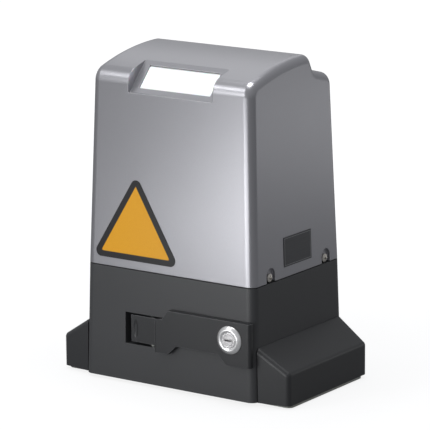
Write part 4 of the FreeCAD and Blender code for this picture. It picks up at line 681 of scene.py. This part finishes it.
haze_width = 0.002
nickel, tree, place = blank("nickel-plated pressed steel")
tone, haze = two_tones(tree, place, haze_width, "#B9B4AC", "#D6D3CE", detail=3.0)
gloss = add(tree, "MapRange", {"Value": haze, "To Min": 0.22, "To Max": 0.36})
shader = add(tree, "BsdfPrincipled", {"Base Color": tone, "Metallic": 0.9, "Roughness": gloss.outputs[0]})
add(tree, "OutputMaterial", {"Surface": shader.outputs[0]})
screws = skin("cover_screw_heads", np.stack(placed_heads), nickel, "base", round_columns=True,
              closed_ends=True)
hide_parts("cover_screws")

# ---- Plates stuck on the cover ----
# A blank triangular plate in front, yellow vinyl with a dark rim; a blank dark foil plate on the right wall,
# brushed in lines 0.4 mm wide, coarser than real ones, so that they show.
# The rim is equally wide all round: it follows a sharp triangle, eased at the corners.
sign_low, sign_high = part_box("triangle_plate")
rim_width = 0.0062
rim_blur = 0.0003
corner_ease = 0.004
sharp_half_base = 0.0529
sharp_height = 0.087
slope_angle = math.atan2(sharp_height, sharp_half_base)
vinyl, tree, place = blank("printed yellow vinyl")
parts = add(tree, "SeparateXYZ", {"Vector": place})
across = add(tree, "Math", {0: parts.outputs["X"], 1: (sign_low.x + sign_high.x) / 2}, operation="SUBTRACT")
sideways = add(tree, "Math", {0: across.outputs[0]}, operation="ABSOLUTE")
upward = add(tree, "Math", {0: parts.outputs["Z"], 1: sign_low.z}, operation="SUBTRACT")
lean_x = add(tree, "Math", {0: sideways.outputs[0], 1: math.sin(slope_angle)}, operation="MULTIPLY")
lean_z = add(tree, "Math", {0: upward.outputs[0], 1: math.cos(slope_angle)}, operation="MULTIPLY")
lean = add(tree, "Math", {0: lean_x.outputs[0], 1: lean_z.outputs[0]}, operation="ADD")
from_sides = add(tree, "Math", {0: sharp_half_base * math.sin(slope_angle), 1: lean.outputs[0]},
                 operation="SUBTRACT")
inside = add(tree, "Math", {0: from_sides.outputs[0], 1: upward.outputs[0], 2: corner_ease},
             operation="SMOOTH_MIN")
field = add(tree, "MapRange", {"Value": inside.outputs[0], "From Min": rim_width - rim_blur,
                               "From Max": rim_width + rim_blur})
ink_width = 0.00143
yellow, ink = two_tones(tree, place, ink_width, "#E39E08", "#EBAA16")
tone = add(tree, "MixRGB", {"Fac": field.outputs[0], "Color1": linear("#141316"), "Color2": yellow})
relief = add(tree, "Bump", {"Height": ink, "Strength": 0.1, "Distance": 0.00004})
shader = add(tree, "BsdfPrincipled", {"Base Color": tone.outputs[0], "Roughness": 0.38,
                                      "Normal": relief.outputs[0]})
add(tree, "OutputMaterial", {"Surface": shader.outputs[0]})
coat(vinyl, "triangle_plate")

label_low, label_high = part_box("rating_plate")
line_inset = 0.0015
line_half_width = 0.00025
brush_length = 0.0333
brush_width = 0.0004
foil, tree, place = blank("dark anodised foil")
parts = add(tree, "SeparateXYZ", {"Vector": place})
off_mid_y = add(tree, "Math", {0: parts.outputs["Y"]}, operation="ABSOLUTE")
to_side = add(tree, "Math", {0: label_high.y, 1: off_mid_y.outputs[0]}, operation="SUBTRACT")
from_mid_z = add(tree, "Math", {0: parts.outputs["Z"], 1: (label_low.z + label_high.z) / 2},
                 operation="SUBTRACT")
off_mid_z = add(tree, "Math", {0: from_mid_z.outputs[0]}, operation="ABSOLUTE")
to_top = add(tree, "Math", {0: (label_high.z - label_low.z) / 2, 1: off_mid_z.outputs[0]},
             operation="SUBTRACT")
to_edge = add(tree, "Math", {0: to_side.outputs[0], 1: to_top.outputs[0]}, operation="MINIMUM")
from_line = add(tree, "Math", {0: to_edge.outputs[0], 1: line_inset}, operation="SUBTRACT")
off_line = add(tree, "Math", {0: from_line.outputs[0]}, operation="ABSOLUTE")
edge_line = add(tree, "Math", {0: off_line.outputs[0], 1: line_half_width}, operation="LESS_THAN")
stretched = add(tree, "Mapping", {"Vector": place, "Scale": (1.0, 1 / brush_length, 1 / brush_width)})
dark, _ = two_tones(tree, stretched.outputs[0], 1.0, "#404144", "#535457", detail=2.0)
tone = add(tree, "MixRGB", {"Fac": edge_line.outputs[0], "Color1": dark, "Color2": linear("#8C8C8E")})
shader = add(tree, "BsdfPrincipled", {"Base Color": tone.outputs[0], "Roughness": 0.4, "Metallic": 0.2})
add(tree, "OutputMaterial", {"Surface": shader.outputs[0]})
coat(foil, "rating_plate")

# ---- Key lock ----
# Chrome-plated zinc barrel through the lever, with a ring that has a wide bevel round a dish. The core turns
# inside it: a satin face with a level key slot. Behind it the cam holds the lever shut.
ring_low, ring_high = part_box("lock_barrel")
core_low, core_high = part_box("lock_core")
lock_centre = ((ring_low.x + ring_high.x) / 2, 0.0, (ring_low.z + ring_high.z) / 2)
ring_radius = (ring_high.x - ring_low.x) / 2
core_radius = (core_high.x - core_low.x) / 2
core_gap = 0.0001
bore = core_radius + core_gap
barrel_radius = 0.009
ease = 0.0002
lever_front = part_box("release_lever")[0].y
face = ring_low.y
rim_height = 0.0006
bevel_foot = 0.0010
bevel_top_radius = ring_radius - 0.0028
face_outer = ring_radius - 0.0034
face_inner = bore + 0.0022
dish_outer = bore + 0.0016
dish_inner = bore + 0.0004
dish_depth = 0.0011
bore_depth = 0.0015
ring_profile = [
    # the barrel behind the ring, and the ring's back
    (barrel_radius, ring_high.y), (barrel_radius, lever_front + ease),
    (ring_radius - ease, lever_front + ease),
    # the upright rim and the wide bevel up to the face
    (ring_radius, lever_front), (ring_radius, lever_front - rim_height),
    (ring_radius - 0.0003, lever_front - bevel_foot), (bevel_top_radius, face + 0.0003),
    # the flat face, the dish round the core, and the bore
    (face_outer, face), (face_inner, face), (dish_outer, face + ease), (dish_inner, face + dish_depth),
    (bore, face + bore_depth), (bore, ring_high.y)]
ring_grid = turned([(radius, -y) for radius, y in ring_profile], lock_centre, (0, -1, 0), steps=120)

haze_width = 0.00238
chrome, tree, place = blank("chrome-plated zinc")
tone, haze = two_tones(tree, place, haze_width, "#EDEDEE", "#F6F6F6", detail=3.0)
gloss = add(tree, "MapRange", {"Value": haze, "To Min": 0.26, "To Max": 0.36})
shader = add(tree, "BsdfPrincipled", {"Base Color": tone, "Metallic": 0.8, "Roughness": gloss.outputs[0]})
add(tree, "OutputMaterial", {"Surface": shader.outputs[0]})
ring = skin("lock_ring", ring_grid, chrome, "lever", round_rows=True, round_columns=True)
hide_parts("lock_barrel")


def key_face(radius, slot_depth, slot_half, slot_reach, rings=60, steps=200):
    """Grid of the core's face: a flat disc with a rounded rim and a shallow ring groove, sunk by the slot.

    The slot is where the point lies within slot_half of the middle up and down and within slot_reach of it
    sideways. The rim falls with the square of the way past rim_start, and the groove is a bell curve round
    groove_at, both shares of the radius.
    """
    rim_start = 0.93
    rim_fall = 0.0004
    groove_at = 0.74
    groove_spread = 0.03
    groove_depth = 0.0003
    skirt_depth = 0.006
    side_wall = 0.00015
    end_wall = 0.0002
    share = (1 - np.linspace(0, 0.99, rings))[:, None]
    turn = np.linspace(0, 2 * np.pi, steps, endpoint=False)[None, :]
    across = radius * share * np.cos(turn)
    upward = radius * share * np.sin(turn)
    rim = -rim_fall * np.clip((share - rim_start) / (1 - rim_start), 0, 1) ** 2 + 0 * turn
    groove = -groove_depth * np.exp(-((share - groove_at) / groove_spread) ** 2)
    in_height = np.clip((slot_half - np.abs(upward)) / side_wall + 0.5, 0, 1)
    in_reach = np.clip((slot_reach - np.abs(across)) / end_wall + 0.5, 0, 1)
    disc = np.stack([across, upward, rim + groove - slot_depth * in_height * in_reach], axis=-1)
    skirt = np.stack([radius * np.cos(turn), radius * np.sin(turn), -skirt_depth + 0 * turn], axis=-1)
    return np.concatenate([skirt, disc])


core_grid = key_face(core_radius, slot_depth=0.005, slot_half=0.0008, slot_reach=0.0042)
core_points = np.stack([lock_centre[0] + core_grid[..., 0], core_low.y - core_grid[..., 2],
                        lock_centre[2] + core_grid[..., 1]], axis=-1)
satin_width = 0.00111
satin, tree, place = blank("satin-chromed zinc")
tone, haze = two_tones(tree, place, satin_width, "#CDCCCD", "#DEDDDE", detail=3.0)
relief = add(tree, "Bump", {"Height": haze, "Strength": 0.15, "Distance": 0.00004})
shader = add(tree, "BsdfPrincipled", {"Base Color": tone, "Metallic": 0.8, "Roughness": 0.42,
                                      "Normal": relief.outputs[0]})
add(tree, "OutputMaterial", {"Surface": shader.outputs[0]})
key_core = skin("lock_core_face", core_points, satin, "lock", round_columns=True, closed_ends=True)
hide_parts("lock_core")
